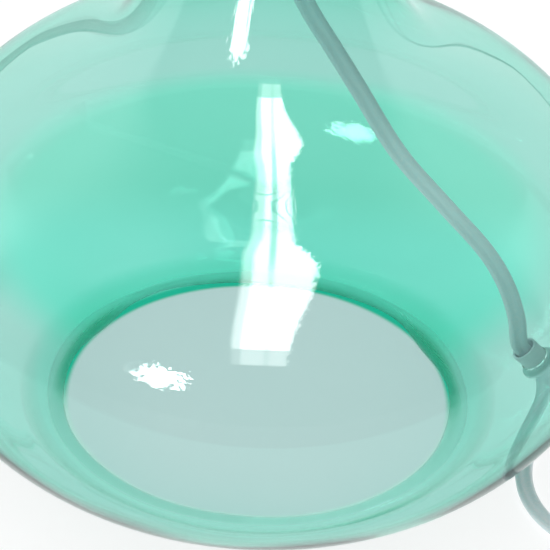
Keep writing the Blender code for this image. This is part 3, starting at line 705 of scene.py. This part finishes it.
def jacket_section():
    """Twin-core outline: two round lobes with a shallow groove between them."""
    radius = FLEX_THICKNESS / 2
    offset = FLEX_WIDTH / 2 - radius
    waist = math.radians(50.0)
    section = []
    for side in (1, -1):
        for i in range(11):
            angle = (math.pi - waist) * (2 * i / 10 - 1)
            section.append((side * (offset + radius * math.cos(angle)), side * radius * math.sin(angle)))
    return section


def sweep(name, frames, section_at, mat):
    """Solid that carries the section given for each frame along the frames."""
    rows = []
    for k, (point, tangent, wide) in enumerate(frames):
        thick = wide.cross(tangent)
        rows.append([point + wide * a + thick * b for a, b in section_at(k)])
    verts, faces = lattice(rows, wrap_rows=False)
    return mesh_object(name, verts, faces, mat, 60.0)


def make_conductor(name, path, side):
    """Bundle of strands: a six-lobed section that turns along the flex."""
    offset = side * (FLEX_WIDTH - FLEX_THICKNESS) / 2

    def section(k):
        twist = math.tau * k * STRAND_STEP / STRAND_LAY
        points = []
        for i in range(18):
            angle = math.tau * i / 18
            radius = (0.72 + 0.12 * math.cos(6 * angle)) * MM
            points.append((offset + radius * math.cos(angle + twist), radius * math.sin(angle + twist)))
        return points

    place(sweep(name, even_steps(*path, STRAND_STEP)[2:-2], section, STRANDS))


def make_flex(node, path):
    """Jacket with its two conductors inside."""
    section = jacket_section()
    jacket = sweep(node + "_fine", even_steps(*path, JACKET_STEP), lambda k: section, PVC)
    place(jacket)
    make_conductor(node + "_core_a", path, 1)
    make_conductor(node + "_core_b", path, -1)


# ---- neck fitting and lampholder

TUBE_BORE = 3.8 * MM
NUT_BORE = 5.3 * MM
THREAD_PITCH = 1.0 * MM


def thread(radius, depth, pitch, height, azimuth):
    """Radius of a rounded single-start thread."""
    return radius - depth * (0.5 - 0.5 * math.cos(math.tau * (height / pitch - azimuth / math.tau)))


def threaded(name, node, inner, depth, pitch, mat, plain_ends, steps_per_turn, follow_inside=False):
    """Tube with a real helical thread outside and, for a rolled shell, inside too."""
    bottom, top, radius = span(node)
    count = round((top - bottom) / pitch * steps_per_turn)
    outline = [(radius, bottom + (top - bottom) * i / count) for i in range(count + 1)]
    walls = (radius + inner) / 2
    inside = [(inner, height) for _, height in reversed(outline)]

    def change(r, height, azimuth):
        ends = min((height - bottom) / plain_ends, (top - height) / plain_ends, 1.0)
        if r > walls:
            return thread(r, depth * max(ends, 0.0), pitch, height, azimuth)
        if follow_inside:
            return r - radius + thread(radius, depth * max(ends, 0.0), pitch, height, azimuth)
        return r

    return turned(name, outline + inside, mat, 72, change=change)


def make_nut(node):
    """Hexagon nut with chamfered corners."""
    bottom, top, _ = span(node)
    low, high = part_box(node)
    corner = (high.y - low.y) / 2
    flat = corner * math.cos(math.pi / 6)
    crown = 0.7 * MM

    def change(radius, height, azimuth):
        if radius < flat * 0.9:
            return radius
        hexagon = flat / math.cos((azimuth - math.pi / 6) % (math.pi / 3) - math.pi / 6)
        edge = min(height - bottom, top - height)
        return min(hexagon, corner - crown + 1.6 * edge)

    sides = [(corner, bottom), (corner, bottom + 0.25 * MM), (corner, bottom + 0.55 * MM)]
    sides += [(corner, top - 0.55 * MM), (corner, top - 0.25 * MM), (corner, top)]
    bore = [(NUT_BORE + 0.4 * MM, top), (NUT_BORE, top - 0.5 * MM), (NUT_BORE, bottom + 0.5 * MM),
            (NUT_BORE + 0.4 * MM, bottom)]
    place(turned(node + "_fine", sides + bore, STEEL, 72, change=change))


def make_plain_rings():
    """Washers, gasket and bung."""
    for node, bore, mat in (("lower_washer", NUT_BORE, STEEL), ("upper_washer", NUT_BORE, STEEL),
                            ("neck_gasket", 17.5 * MM, RUBBER)):
        bottom, top, radius = span(node)
        outline = rounded(ring(bore, radius, bottom, top), 0.35 * MM)
        place(turned(node + "_fine", outline, mat))
    bottom, top, radius = span("neck_bung")
    outline = rounded([(radius, top), (radius, bottom + 6 * MM), (15 * MM, bottom), (NUT_BORE, bottom),
                       (NUT_BORE, top)], 0.8 * MM)
    place(turned("neck_bung_fine", outline, RUBBER))


def make_neck_cap():
    """Spun cup with a rolled hem along its lower edge and a raised step on top."""
    bottom, top, radius = span("neck_cap")
    thickness = 1.5 * MM
    hem = 0.55 * MM
    skin = radius - hem
    outline = [(NUT_BORE, top), (12 * MM, top), (12.4 * MM, top - 0.25 * MM),
               (radius - 7 * MM, top - 0.3 * MM)]
    outline += bezier(outline[-1], (skin - 1.5 * MM, top - 0.4 * MM),
                      (skin, top - 2.0 * MM), (skin, top - 6.5 * MM), 14)
    outline.append((skin, bottom + 1.8 * MM))
    for i in range(9):
        angle = math.pi / 2 - math.pi * i / 8
        outline.append((skin + (0.6 * math.cos(angle) - 0.1) * MM,
                        bottom + hem * 1.4 * (1.0 + math.sin(angle))))
    inner = radius - thickness
    outline += [(inner, bottom), (inner, top - thickness - 6 * MM)]
    ceiling = top - thickness
    outline += bezier(outline[-1], (inner, ceiling - 1.5 * MM),
                      (inner - 1.5 * MM, ceiling), (inner - 6 * MM, ceiling), 8)
    outline.append((NUT_BORE, ceiling))
    place(turned("neck_cap_fine", outline, NICKEL, 128))


def make_holder_cap():
    """Domed cap with a moulded collar and fine grip ribs below its rim."""
    bottom, top, radius = span("holder_cap")
    collar = 9 * MM
    wall = 1.8 * MM
    lip = top - 9 * MM
    waist = radius - 0.35 * MM
    outline = [(radius, top), (radius, top - 1.2 * MM), (waist, top - 1.5 * MM),
               (waist, lip + 0.6 * MM), (radius, lip)]
    outline += bezier(outline[-1], (radius, top - 16 * MM), (13 * MM, top - 18 * MM),
                      (collar, top - 21.5 * MM), 16)
    outline += [(collar, bottom + 0.5 * MM), (collar - 0.5 * MM, bottom),
                (NUT_BORE, bottom), (NUT_BORE, bottom + 9.2 * MM)]
    inner = radius - wall
    outline += bezier(outline[-1], (12 * MM, top - 15.5 * MM), (inner, top - 13 * MM),
                      (inner, top - 7 * MM), 10)
    outline.append((inner, top))

    def ribs(r, height, azimuth):
        if r > radius - 0.5 * MM and lip + 0.3 * MM < height < top - 1.3 * MM:
            return r + 0.3 * MM * (0.5 + 0.5 * math.cos(48 * azimuth))
        return r

    cap = turned("holder_cap_fine", outline, WHITE, 288, change=ribs)
    screw_height = bottom + 3.2 * MM
    start = AXIS + Vector((-14.5 * MM, 0.0, screw_height))
    carve(cap, [cylinder_between(start, start + Vector((10 * MM, 0.0, 0.0)), 1.8 * MM)])
    place(cap)


def make_lock_screw():
    """Slotted grub screw."""
    low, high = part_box("lock_screw")
    radius = (high.z - low.z) / 2
    length = high.x - low.x
    outline = rounded([(0.0, 0.0), (0.0, length), (radius, length), (radius, 0.0)], 0.2 * MM)
    turn = Matrix.Rotation(math.pi / 2, 3, 'Y')
    middle = Vector((low.x, (low.y + high.y) / 2, (low.z + high.z) / 2))
    screw = turned("lock_screw_fine", outline, STEEL, 32, middle, turn)
    slot = Vector((0.7, 3.0, 0.25)) * MM
    carve(screw, [block(middle - slot, middle + slot)])
    place(screw)


def make_shade_ring(node, body):
    """Flanged ring with a scalloped grip edge."""
    bottom, top, radius = span(node)
    bore = 20.3 * MM
    hub = 23.0 * MM
    flange = 2.0 * MM
    outline = rounded([(hub, top), (hub, bottom + flange), (radius, bottom + flange), (radius, bottom),
                       (bore, bottom), (bore, top)], 0.5 * MM)

    def scallops(r, height, azimuth):
        if r < hub + 1.5 * MM:
            return r
        dent = max(0.0, math.cos(12 * azimuth) - 0.55)
        return r - 2.4 * MM * dent * (r - hub) / (radius - hub)

    place(turned(node + "_fine", outline, WHITE, 288, change=scallops), body)


def make_neck_fitting():
    tube = threaded("threaded_tube_fine", "threaded_tube", TUBE_BORE, 0.5 * MM, THREAD_PITCH, STEEL,
                    0.6 * MM, 6)
    place(tube)
    make_nut("lower_nut")
    make_nut("upper_nut")
    make_plain_rings()
    make_neck_cap()


def make_lampholder():
    make_holder_cap()
    make_lock_screw()
    skirt = threaded("holder_skirt_fine", "holder_skirt", 17.4 * MM, 0.6 * MM, 3.0 * MM, WHITE,
                     1.5 * MM, 10)
    place(skirt)
    _, _, shell_radius = span("screw_shell")
    shell = threaded("screw_shell_fine", "screw_shell", shell_radius - 0.5 * MM, 1.0 * MM, 3.6 * MM, BRASS,
                     2.0 * MM, 12, follow_inside=True)
    place(shell)
    make_shade_ring("shade_ring_lower", "lower_ring")
    make_shade_ring("shade_ring_upper", "upper_ring")


# ---- in-line switch

ROCKER_PIVOT = Vector((0.0, 0.0, 14.6 * MM))
ROCKER_TILT = math.radians(10.0)
PIN_HOLE = 1.5 * MM
CAVITY_HALF = 19.5 * MM
SHELL_WALL = 1.8 * MM
SCREW_HOLE = 1.8 * MM
SCREW_HEAD = 3.2 * MM
CLAMP_SPOT = 24.5 * MM        # distance of the cord clamps from the switch's middle
CLAMP_HALF = 2.8 * MM
GRIP_PITCH = 2.6 * MM
GRIP_RADIUS = 0.45 * MM
SCREW_SPOTS = ((9.2 * MM, 26.2 * MM), (-9.2 * MM, -26.2 * MM))


def plate_outline(half_width, half_length, corner):
    """Rounded rectangle as (x, y) points around the origin."""
    corners = [(half_width, half_length), (-half_width, half_length), (-half_width, -half_length),
               (half_width, -half_length)]
    return rounded(corners, corner, 8)


def shell(name, levels):
    """Stack of rounded rectangles given as (height, inset), from one end to the other."""
    rows = []
    for height, inset in levels:
        outline = plate_outline(SWITCH_WIDTH / 2 - inset, SWITCH_LENGTH / 2 - inset, 6.0 * MM - inset)
        rows.append([SWITCH + Vector((x, y, height)) for x, y in outline])
    verts, faces = lattice(rows, wrap_rows=False)
    return mesh_object(name, verts, faces, WHITE, 50.0)


def at_switch(x, y, z):
    return SWITCH + Vector((x, y, z))


def flex_channel():
    """Cutter for the flex, right through the switch."""
    half = Vector((FLEX_WIDTH / 2 + GAP, 50 * MM, FLEX_THICKNESS / 2 + GAP))
    middle = at_switch(0, 0, FLEX_IN_SWITCH)
    return block(middle - half, middle + half)


def screw_holes(bottom, top, radius):
    return [cylinder_between(at_switch(x, y, bottom), at_switch(x, y, top), radius)
            for x, y in SCREW_SPOTS]


def make_lower_shell():
    low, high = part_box("switch_lower_shell")
    lower = shell("switch_lower_shell_fine", [
        (low.z, 1.8 * MM), (low.z + 0.3 * MM, 1.0 * MM), (low.z + 0.9 * MM, 0.35 * MM),
        (low.z + 1.8 * MM, 0.0), (high.z - 0.25 * MM, 0.0), (high.z, 0.25 * MM)])
    half = 11.3 * MM
    cutters = [block(at_switch(-half, -CAVITY_HALF, SHELL_WALL), at_switch(half, CAVITY_HALF, 20 * MM)),
               flex_channel()]
    cutters += screw_holes(-20 * MM, 20 * MM, SCREW_HOLE)
    cutters += screw_holes(-3 * MM, 3 * MM, SCREW_HEAD)
    place(carve(lower, cutters, 50.0))


def grip_grooves(bottom, top):
    """Cutters for the upright grip grooves in both long sides."""
    grooves = []
    for step in range(-3, 4):
        for side in (-1, 1):
            foot = at_switch(side * (SWITCH_WIDTH / 2 + 0.15 * MM), step * GRIP_PITCH, bottom)
            head = Vector((foot.x, foot.y, top))
            grooves.append(cylinder_between(foot, head, GRIP_RADIUS, 16))
    return grooves


def make_upper_shell():
    low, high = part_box("switch_upper_shell")
    crown = high.z
    upper = shell("switch_upper_shell_fine", [
        (low.z, 0.25 * MM), (low.z + 0.25 * MM, 0.0), (crown - 2.6 * MM, 0.0),
        (crown - 1.3 * MM, 0.45 * MM), (crown - 0.5 * MM, 1.3 * MM), (crown, 2.6 * MM)])
    pin_reach = Vector((10 * MM, 0, 0))
    cavity, opening, clamp = 6.7 * MM, Vector((6.5 * MM, 10.6 * MM, 5 * MM)), 5.6 * MM
    middle = at_switch(0, 0, crown)
    cutters = [
        block(at_switch(-cavity, -CAVITY_HALF, 0), at_switch(cavity, CAVITY_HALF, crown - SHELL_WALL)),
        block(middle - opening, middle + opening),
        flex_channel(),
        cylinder_between(SWITCH + ROCKER_PIVOT - pin_reach, SWITCH + ROCKER_PIVOT + pin_reach, PIN_HOLE),
    ]
    for spot in (-CLAMP_SPOT, CLAMP_SPOT):
        cutters.append(block(at_switch(-clamp, spot - CLAMP_HALF, 0),
                             at_switch(clamp, spot + CLAMP_HALF, SWITCH_SPLIT + 4.2 * MM)))
    cutters += screw_holes(0, 14.5 * MM, SCREW_HOLE)
    cutters += grip_grooves(low.z + 1.2 * MM, crown - 3.2 * MM)
    place(carve(upper, cutters, 50.0))


def rocker_profile():
    """Side view as (y, z) from the pin: a dished top on a narrow stem."""
    half_length, edge = 9.5 * MM, 4.5 * MM
    dish, dish_centre, reach = 40.0 * MM, 43.6 * MM, 8.4 * MM
    stem, stem_end = 3.1 * MM, -6.9 * MM
    profile = [Vector((half_length, 0.0)), Vector((half_length, edge))]
    for i in range(13):
        y = reach - 2 * reach * i / 12
        profile.append(Vector((y, dish_centre - math.sqrt(dish * dish - y * y))))
    profile += [Vector((-half_length, edge)), Vector((-half_length, 0.0)), Vector((-stem, 0.0)),
                Vector((-stem, stem_end)), Vector((stem, stem_end)), Vector((stem, 0.0))]
    return rounded(profile, 0.5 * MM, 3)


def make_rocker():
    """Dished rocker on its stem, tilted about the pin, with an engraved bar on the far end."""
    half_width = 6.2 * MM
    turn = Matrix.Rotation(-ROCKER_TILT, 3, 'X')
    pivot = SWITCH + ROCKER_PIVOT

    def local(x, y, z):
        return pivot + turn @ Vector((x, y, z))

    rows = []
    for x, shrink in ((-1.0, 0.96), (-0.96, 0.99), (-0.9, 1.0), (0.9, 1.0), (0.96, 0.99), (1.0, 0.96)):
        rows.append([local(x * half_width, y * shrink, z * shrink) for y, z in rocker_profile()])
    verts, faces = lattice(rows, wrap_rows=False)
    rocker = mesh_object("switch_rocker_fine", verts, faces, WHITE, 50.0)
    bar = block(Vector((-0.3, 4.6, 3.55)) * MM, Vector((0.3, 7.4, 6.0)) * MM)
    bar.transform(Matrix.Translation(pivot) @ turn.to_4x4())
    pin_hole = cylinder_between(local(-10 * MM, 0, 0), local(10 * MM, 0, 0), PIN_HOLE)
    plunger_hole = cylinder_between(local(0, 0, -11.4 * MM), local(0, 0, -2.4 * MM), 1.9 * MM)
    carve(rocker, [pin_hole, plunger_hole, bar], 50.0)
    place(rocker, "rocker")


# ---- plug

PIN_SPACING = 18.6 * MM
PIN_LENGTH = 19.0 * MM        # from the plug's face to the tip
PIN_DEPTH = 11.0 * MM         # inside the plug's body
PIN_RADIUS = 1.9 * MM
PIN_ROOT = 1.8 * MM
PIN_WAIST = 1.2 * MM          # radius under the sleeve
WAIST_END = 10.4 * MM
SLEEVE_GAP = 0.3 * MM
SLEEVE_BORE = 1.4 * MM
RELIEF_START = 0.70           # share of the plug's length where the ribbed strain relief begins
RELIEF_PITCH = 0.075


def plug_section(share):
    """Half width and half thickness of the plug from its face (0) to its flex end (1)."""
    low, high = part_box("plug_body")
    half_width, half_thickness = (high.y - low.y) / 2, (high.z - low.z) / 2
    taper = 1.0 - 0.64 * share
    relief = 0.0
    if share > RELIEF_START:
        relief = 0.035 * (1.0 - math.cos(math.tau * (share - RELIEF_START) / RELIEF_PITCH))
    face = 0.03 * math.exp(-share * 60.0) + 0.04 * math.exp(-(1.0 - share) * 60.0)
    shrink = 1.0 - relief - face
    return half_width * taper * shrink, half_thickness * (1.0 - 0.14 * share) * shrink


def octagon(half_width, half_height):
    """Rectangle with cut corners, as (x, y) points."""
    brow = half_width * 0.62
    cheek = half_height * 0.55
    right = [(brow, -half_height), (half_width, -cheek), (half_width, cheek), (brow, half_height)]
    return right + [(-x, y) for x, y in reversed(right)]


def make_plug_body():
    low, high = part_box("plug_body")
    rows = []
    for i in range(61):
        outline = rounded(octagon(*plug_section(i / 60)), 3.0 * MM, 4)
        x = low.x + (high.x - low.x) * i / 60
        rows.append([Vector((x, PLUG.y + y, PLUG.z + z)) for y, z in outline])
    verts, faces = lattice(rows, wrap_rows=False)
    body = mesh_object("plug_body_fine", verts, faces, WHITE, 50.0)
    channel = Vector((10.5 * MM, FLEX_WIDTH / 2 + GAP, FLEX_THICKNESS / 2 + GAP))
    flex_exit = Vector((high.x, PLUG.y, PLUG.z))
    reach = Vector((12 * MM, 0.0, 0.0))
    cutters = [block(flex_exit - channel, flex_exit + channel)]
    for side in (-1, 1):
        cutters.append(cylinder_between(pin_root(side) - reach, pin_root(side) + reach, 2.2 * MM))
    place(carve(body, cutters, 50.0))


def pin_root(side):
    """Where a pin leaves the plug's face."""
    return Vector((PLUG_LOW.x, PLUG.y + side * PIN_SPACING / 2, PLUG.z))


def make_pins():
    """Round pins with domed tips and a sleeve around their waist."""
    pin = [(0.0, PIN_LENGTH)]
    for i in range(1, 9):
        angle = math.pi / 2 * i / 8
        pin.append((PIN_RADIUS * math.sin(angle), PIN_LENGTH - 1.6 * MM * (1.0 - math.cos(angle))))
    pin += [(PIN_RADIUS, WAIST_END), (PIN_WAIST, WAIST_END), (PIN_WAIST, 0.0), (PIN_ROOT, 0.0),
            (PIN_ROOT, -PIN_DEPTH), (0.0, -PIN_DEPTH)]
    sleeve = rounded(ring(SLEEVE_BORE, PIN_RADIUS, SLEEVE_GAP, WAIST_END - SLEEVE_GAP), 0.12 * MM)
    turn = Matrix.Rotation(-math.pi / 2, 3, 'Y')
    for side, tag in ((-1, "a"), (1, "b")):
        place(turned("plug_pin_" + tag + "_fine", pin, NICKEL, 40, pin_root(side), turn))
        place(turned("pin_sleeve_" + tag + "_fine", sleeve, SLEEVE, 40, pin_root(side), turn))


# ---- studio and camera

FLOOR_HALF = 6.0
FLOOR_LEVEL = -0.3 * MM
# glow of the table as the glass shows it, all painted light and shade: away from the body, under the body,
# under the foot ring, inside the open foot (painted shade), and the lamp's painted green shadow near the
# foot and at its far end
PAINTED_PLAIN_SHADE = (0.66, 0.94, 0.88)
PAINTED_NEAR_LIGHT = (1.00, 1.08, 1.06)
PAINTED_FOOT_LIGHT = (0.0, 0.64, 0.42)
PAINTED_INNER_SHADE = (0.76, 0.87, 0.88)
PAINTED_SHADOW_NEAR = (0.38, 1.20, 1.02)
PAINTED_SHADOW_FAR = (0.26, 1.02, 0.80)
BARE_TABLE = (1.25, 1.25, 1.25)
# painted shade of the table in mirror images towards the room
PAINTED_ROOM_SHADE = (0.1, 0.1, 0.1)
TABLE_BASE = (0.24, 0.24, 0.24)
# painted emerald base colour of the table under the foot ring
PAINTED_FOOT_BASE = (0.0, 0.16, 0.10)
TABLE_GLOW = 0.66
UNDER_BODY = 104 * MM
UNDER_FOOT = FOOT_RADIUS - 1 * MM
FOOT_OPENING = 62 * MM
SHADOW_CENTRE = AXIS + Vector((0.0, 103 * MM, 0.0))
SHADOW_RADIUS = 100 * MM
SHADOW_FROM = (AXIS.y - 25 * MM, AXIS.y + 15 * MM)
SHADOW_FAR = (AXIS.y + 82 * MM, AXIS.y + 128 * MM)
# where mirror images show the table painted dark, as painted shade for the dim room
ROOM_FRONT = (-0.39, -0.37)
ROOM_LEFT = (-0.54, -0.53)

# places in the studio in degrees: over the top from the front horizon, and sideways
SWEEP = (90.0, 118.0)
WINDOW_SILL = (32.0, 33.0)
WINDOW_FOOT = (39.5, 40.5)
WINDOW_TOP = (92.0, 96.0)
WINDOW_BAR = 2.2
BLIND_FROM = (83.8, 84.2)
SLATS = 4.0                   # slats of the blind per degree
LAMP_OVER = 21.4
LAMP_SIDE = -27.0
LAMP_HEIGHT = 6.6
LAMP_WIDTH = 8.0
LIGHT_LEVEL = 20.0
SEEN_THROUGH = 0.2            # share of the window's light left in mirror images seen through glass
KEY_DIRECTION = Vector((-0.45, -0.40, 0.80)).normalized()

VIEW_ELEVATION = math.radians(35.625)
VIEW_ROLL = math.radians(2.484)
VIEW_DISTANCE = 850 * MM
VIEW_TARGET = Vector((3.95 * MM, 0.0, 49.05 * MM))
VIEW_LENS = 176.66


def make_camera():
    data = bpy.data.cameras.new("camera")
    data.sensor_width = 36.0
    data.lens = VIEW_LENS
    data.clip_start = 0.01
    camera = new_object("camera", data)
    back = Vector((0.0, -math.cos(VIEW_ELEVATION), math.sin(VIEW_ELEVATION)))
    up = Vector((0.0, math.sin(VIEW_ELEVATION), math.cos(VIEW_ELEVATION)))
    camera.location = AXIS + VIEW_TARGET + back * VIEW_DISTANCE
    turn = Matrix((Vector((1.0, 0.0, 0.0)), up, back)).transposed()
    camera.rotation_euler = (turn @ Matrix.Rotation(VIEW_ROLL, 3, 'Z')).to_euler()
    bpy.context.scene.camera = camera


def floor_disc(g, spot, centre, radius, softness):
    """1 inside a soft-edged disc on the floor, 0 outside."""
    away = g.vector_math('DISTANCE', spot, (centre.x, centre.y, FLOOR_LEVEL))
    return g.ramp(away, radius - softness, radius + softness, 1.0, 0.0)


def floor_colours(g, spot, y):
    """Base colour and glow of the table as it is seen through the glass: painted light, painted shade and
    a painted green shadow.
    """
    behind = g.ramp(y, *SHADOW_FROM)
    # painted shadow: the lamp's green shadow on the table behind the foot, deeper at its far end
    shadow = g.times(floor_disc(g, spot, SHADOW_CENTRE, SHADOW_RADIUS, 12 * MM), behind)
    green = g.mix(g.ramp(y, *SHADOW_FAR), rgba(PAINTED_SHADOW_NEAR), rgba(PAINTED_SHADOW_FAR))
    foot = g.times(floor_disc(g, spot, AXIS, UNDER_FOOT, 2 * MM), g.ramp(behind, 0.0, 1.0, 0.2, 1.0))
    inside = floor_disc(g, spot, AXIS, FOOT_OPENING, 1 * MM)
    under_body = floor_disc(g, spot, AXIS, UNDER_BODY, 8 * MM)
    # painted shade on the table away from the body and painted light under the body
    glow = g.mix(under_body, rgba(PAINTED_PLAIN_SHADE), rgba(PAINTED_NEAR_LIGHT))
    glow = g.mix(shadow, glow, green)
    # painted light under the foot ring: the deep emerald held in the thick foot glass, weaker at the front
    glow = g.mix(foot, glow, rgba(PAINTED_FOOT_LIGHT))
    # painted shade on the table inside the open foot
    glow = g.mix(inside, glow, rgba(PAINTED_INNER_SHADE))
    # the base colour under the foot ring is painted emerald as well
    base = g.mix(foot, rgba(TABLE_BASE), rgba(PAINTED_FOOT_BASE))
    return g.mix(inside, base, rgba(TABLE_BASE)), glow


def make_floor():
    """Pale table; seen through the glass it carries painted light and shade and the lamp's painted soft
    green shadow.
    """
    mat, g = new_material("floor")
    spot = g.add("ShaderNodeNewGeometry").outputs["Position"]
    position = g.add("ShaderNodeSeparateXYZ", Vector=spot).outputs
    path = g.add("ShaderNodeLightPath").outputs
    base, glow = floor_colours(g, spot, position["Y"])
    plain = g.math('MAXIMUM', path["Is Camera Ray"], g.at_least_one(path["Diffuse Depth"]))
    glow = g.mix(plain, glow, rgba(BARE_TABLE))
    room = g.math('MAXIMUM', g.ramp(position["Y"], *ROOM_FRONT, 1.0, 0.0),
                  g.ramp(position["X"], *ROOM_LEFT, 1.0, 0.0))
    # painted shade: mirror images show the table dark towards the room
    glow = g.mix(g.times(room, g.at_least_one(path["Glossy Depth"])), glow, rgba(PAINTED_ROOM_SHADE))
    shader = g.add("ShaderNodeBsdfPrincipled", Base_Color=base, Roughness=0.6)
    g.feed(shader.inputs["Specular IOR Level"], 0.1)
    g.feed(shader.inputs["Emission Color"], glow)
    g.feed(shader.inputs["Emission Strength"], TABLE_GLOW)
    finish_material(g, shader)

    corners = ((-1, -1), (1, -1), (1, 1), (-1, 1))
    mesh = bpy.data.meshes.new("floor")
    verts = [(x * FLOOR_HALF, y * FLOOR_HALF, FLOOR_LEVEL) for x, y in corners]
    mesh.from_pydata(verts, [], [(0, 1, 2, 3)])
    mesh.materials.append(mat)
    new_object("floor", mesh)


def window_light(g, over, side, coords):
    """Tall window with a glazing bar, a dim strip below it and a blind at its upper end."""
    uneven = g.times(g.minus(g.noise(70.0, 4.0, coords), 0.5), 5.0)
    left = g.plus(g.ramp(over, 40.0, 74.0, -7.0, -4.4), g.ramp(over, 76.0, 84.0, 0.0, 2.0))
    right = g.plus(g.ramp(over, 35.0, 72.0, 7.5, 12.6), g.ramp(over, 74.0, 84.0, 0.0, -6.6))
    right = g.plus(right, uneven)
    inside = g.times(g.ramp(g.minus(side, left), -1.0, 0.8), g.ramp(g.minus(right, side), -1.2, 0.8))
    border = g.ramp(g.minus(side, left), 1.6, 3.2, 0.4, 1.0)
    bar_level = g.ramp(over, 68.0, 80.0, 0.7, 0.25)
    bar = g.ramp(g.math('ABSOLUTE', g.minus(side, WINDOW_BAR)), 0.2, 1.3, bar_level, 1.0)
    panes = g.plus(g.ramp(over, *WINDOW_SILL, 0.0, 0.3), g.ramp(over, *WINDOW_FOOT, 0.0, 0.7))
    panes = g.times(panes, g.ramp(over, *WINDOW_TOP, 1.0, 0.0))
    slats = g.ramp(g.math('FRACT', g.times(over, SLATS)), 0.76, 0.86, 1.0, 0.3)
    blind = g.blend(g.ramp(over, *BLIND_FROM), 1.0, slats)
    return g.times(g.times(g.times(inside, border), g.times(bar, panes)), blind)


def lamp_light(g, over, side, coords):
    """Small lamp with a ragged outline, low on the left."""
    up = g.math('DIVIDE', g.minus(over, LAMP_OVER), LAMP_HEIGHT)
    across = g.math('DIVIDE', g.minus(side, LAMP_SIDE), LAMP_WIDTH)
    away = g.math('SQRT', g.plus(g.times(up, up), g.times(across, across)))
    ragged = g.plus(away, g.times(g.minus(g.noise(42.0, 3.0, coords), 0.5), 2.6))
    return g.ramp(ragged, 0.85, 0.95, 1.0, 0.0)


def make_world():
    """Plain white for the camera, soft light for matt surfaces, and for mirror images a white sweep
    behind, a dimmer room in front, a tall bright window and a small lamp."""
    world = bpy.data.worlds.new("studio")
    bpy.context.scene.world = world
    world.use_nodes = True
    g = Graph(world.node_tree)
    coords = g.add("ShaderNodeTexCoord").outputs["Generated"]
    direction = g.add("ShaderNodeSeparateXYZ", Vector=coords)
    x, y, z = (direction.outputs[k] for k in "XYZ")
    over = g.times(g.math('ARCTAN2', z, g.times(y, -1.0)), math.degrees(1.0))
    side = g.times(g.math('ARCSINE', x), math.degrees(1.0))
    path = g.add("ShaderNodeLightPath").outputs

    weaker = g.ramp(path["Transmission Depth"], 0.4, 0.6, 1.0, SEEN_THROUGH)
    window = g.times(window_light(g, over, side, coords), weaker)
    lights = g.times(g.plus(window, lamp_light(g, over, side, coords)), LIGHT_LEVEL)
    studio = g.plus(g.ramp(over, *SWEEP, 0.25, 1.0), lights)
    soft = g.ramp(g.vector_math('DOT_PRODUCT', coords, KEY_DIRECTION), -0.2, 1.0, 0.42, 1.1)

    straight = g.minus(1.0, g.at_least_one(path["Diffuse Depth"]))
    through = g.times(path["Is Transmission Ray"], straight)
    level = g.blend(g.math('MAXIMUM', path["Is Camera Ray"], through), soft, 1.0)
    mirrored = g.times(g.at_least_one(path["Glossy Depth"]), straight)
    level = g.blend(mirrored, level, studio)
    background = g.add("ShaderNodeBackground", Color=rgba((1.0, 1.0, 1.0)), Strength=level)
    g.add("ShaderNodeOutputWorld", Surface=background.outputs[0])


def set_render():
    scene = bpy.context.scene
    scene.view_settings.view_transform = 'Standard'
    scene.cycles.max_bounces = 20
    scene.cycles.transmission_bounces = 18
    scene.cycles.glossy_bounces = 8
    scene.cycles.transparent_max_bounces = 12
    scene.cycles.caustics_refractive = True
    scene.cycles.caustics_reflective = False


def dress_cad_nodes():
    """Gives every CAD node that is still shown its material and slightly rounded edges."""
    slots = {part["node"]: part["material_slot"] for part in frame["record"]["subparts"]}
    for name, node in NODES.items():
        if node.hide_render:
            continue
        node.data.materials.clear()
        node.data.materials.append(SLOT_LOOKS[slots[name]])
        edges = node.modifiers.new("edges", 'BEVEL')
        edges.width = 0.12 * MM
        edges.segments = 2
        edges.limit_method = 'ANGLE'
        edges.angle_limit = math.radians(40.0)


make_glass()
make_bush()
make_flex("flex_lamp_side", lamp_flex_path())
make_flex("flex_plug_side", plug_flex_path())
make_neck_fitting()
make_lampholder()
make_lower_shell()
make_upper_shell()
make_rocker()
make_plug_body()
make_pins()
dress_cad_nodes()
make_floor()
make_world()
make_camera()
set_render()
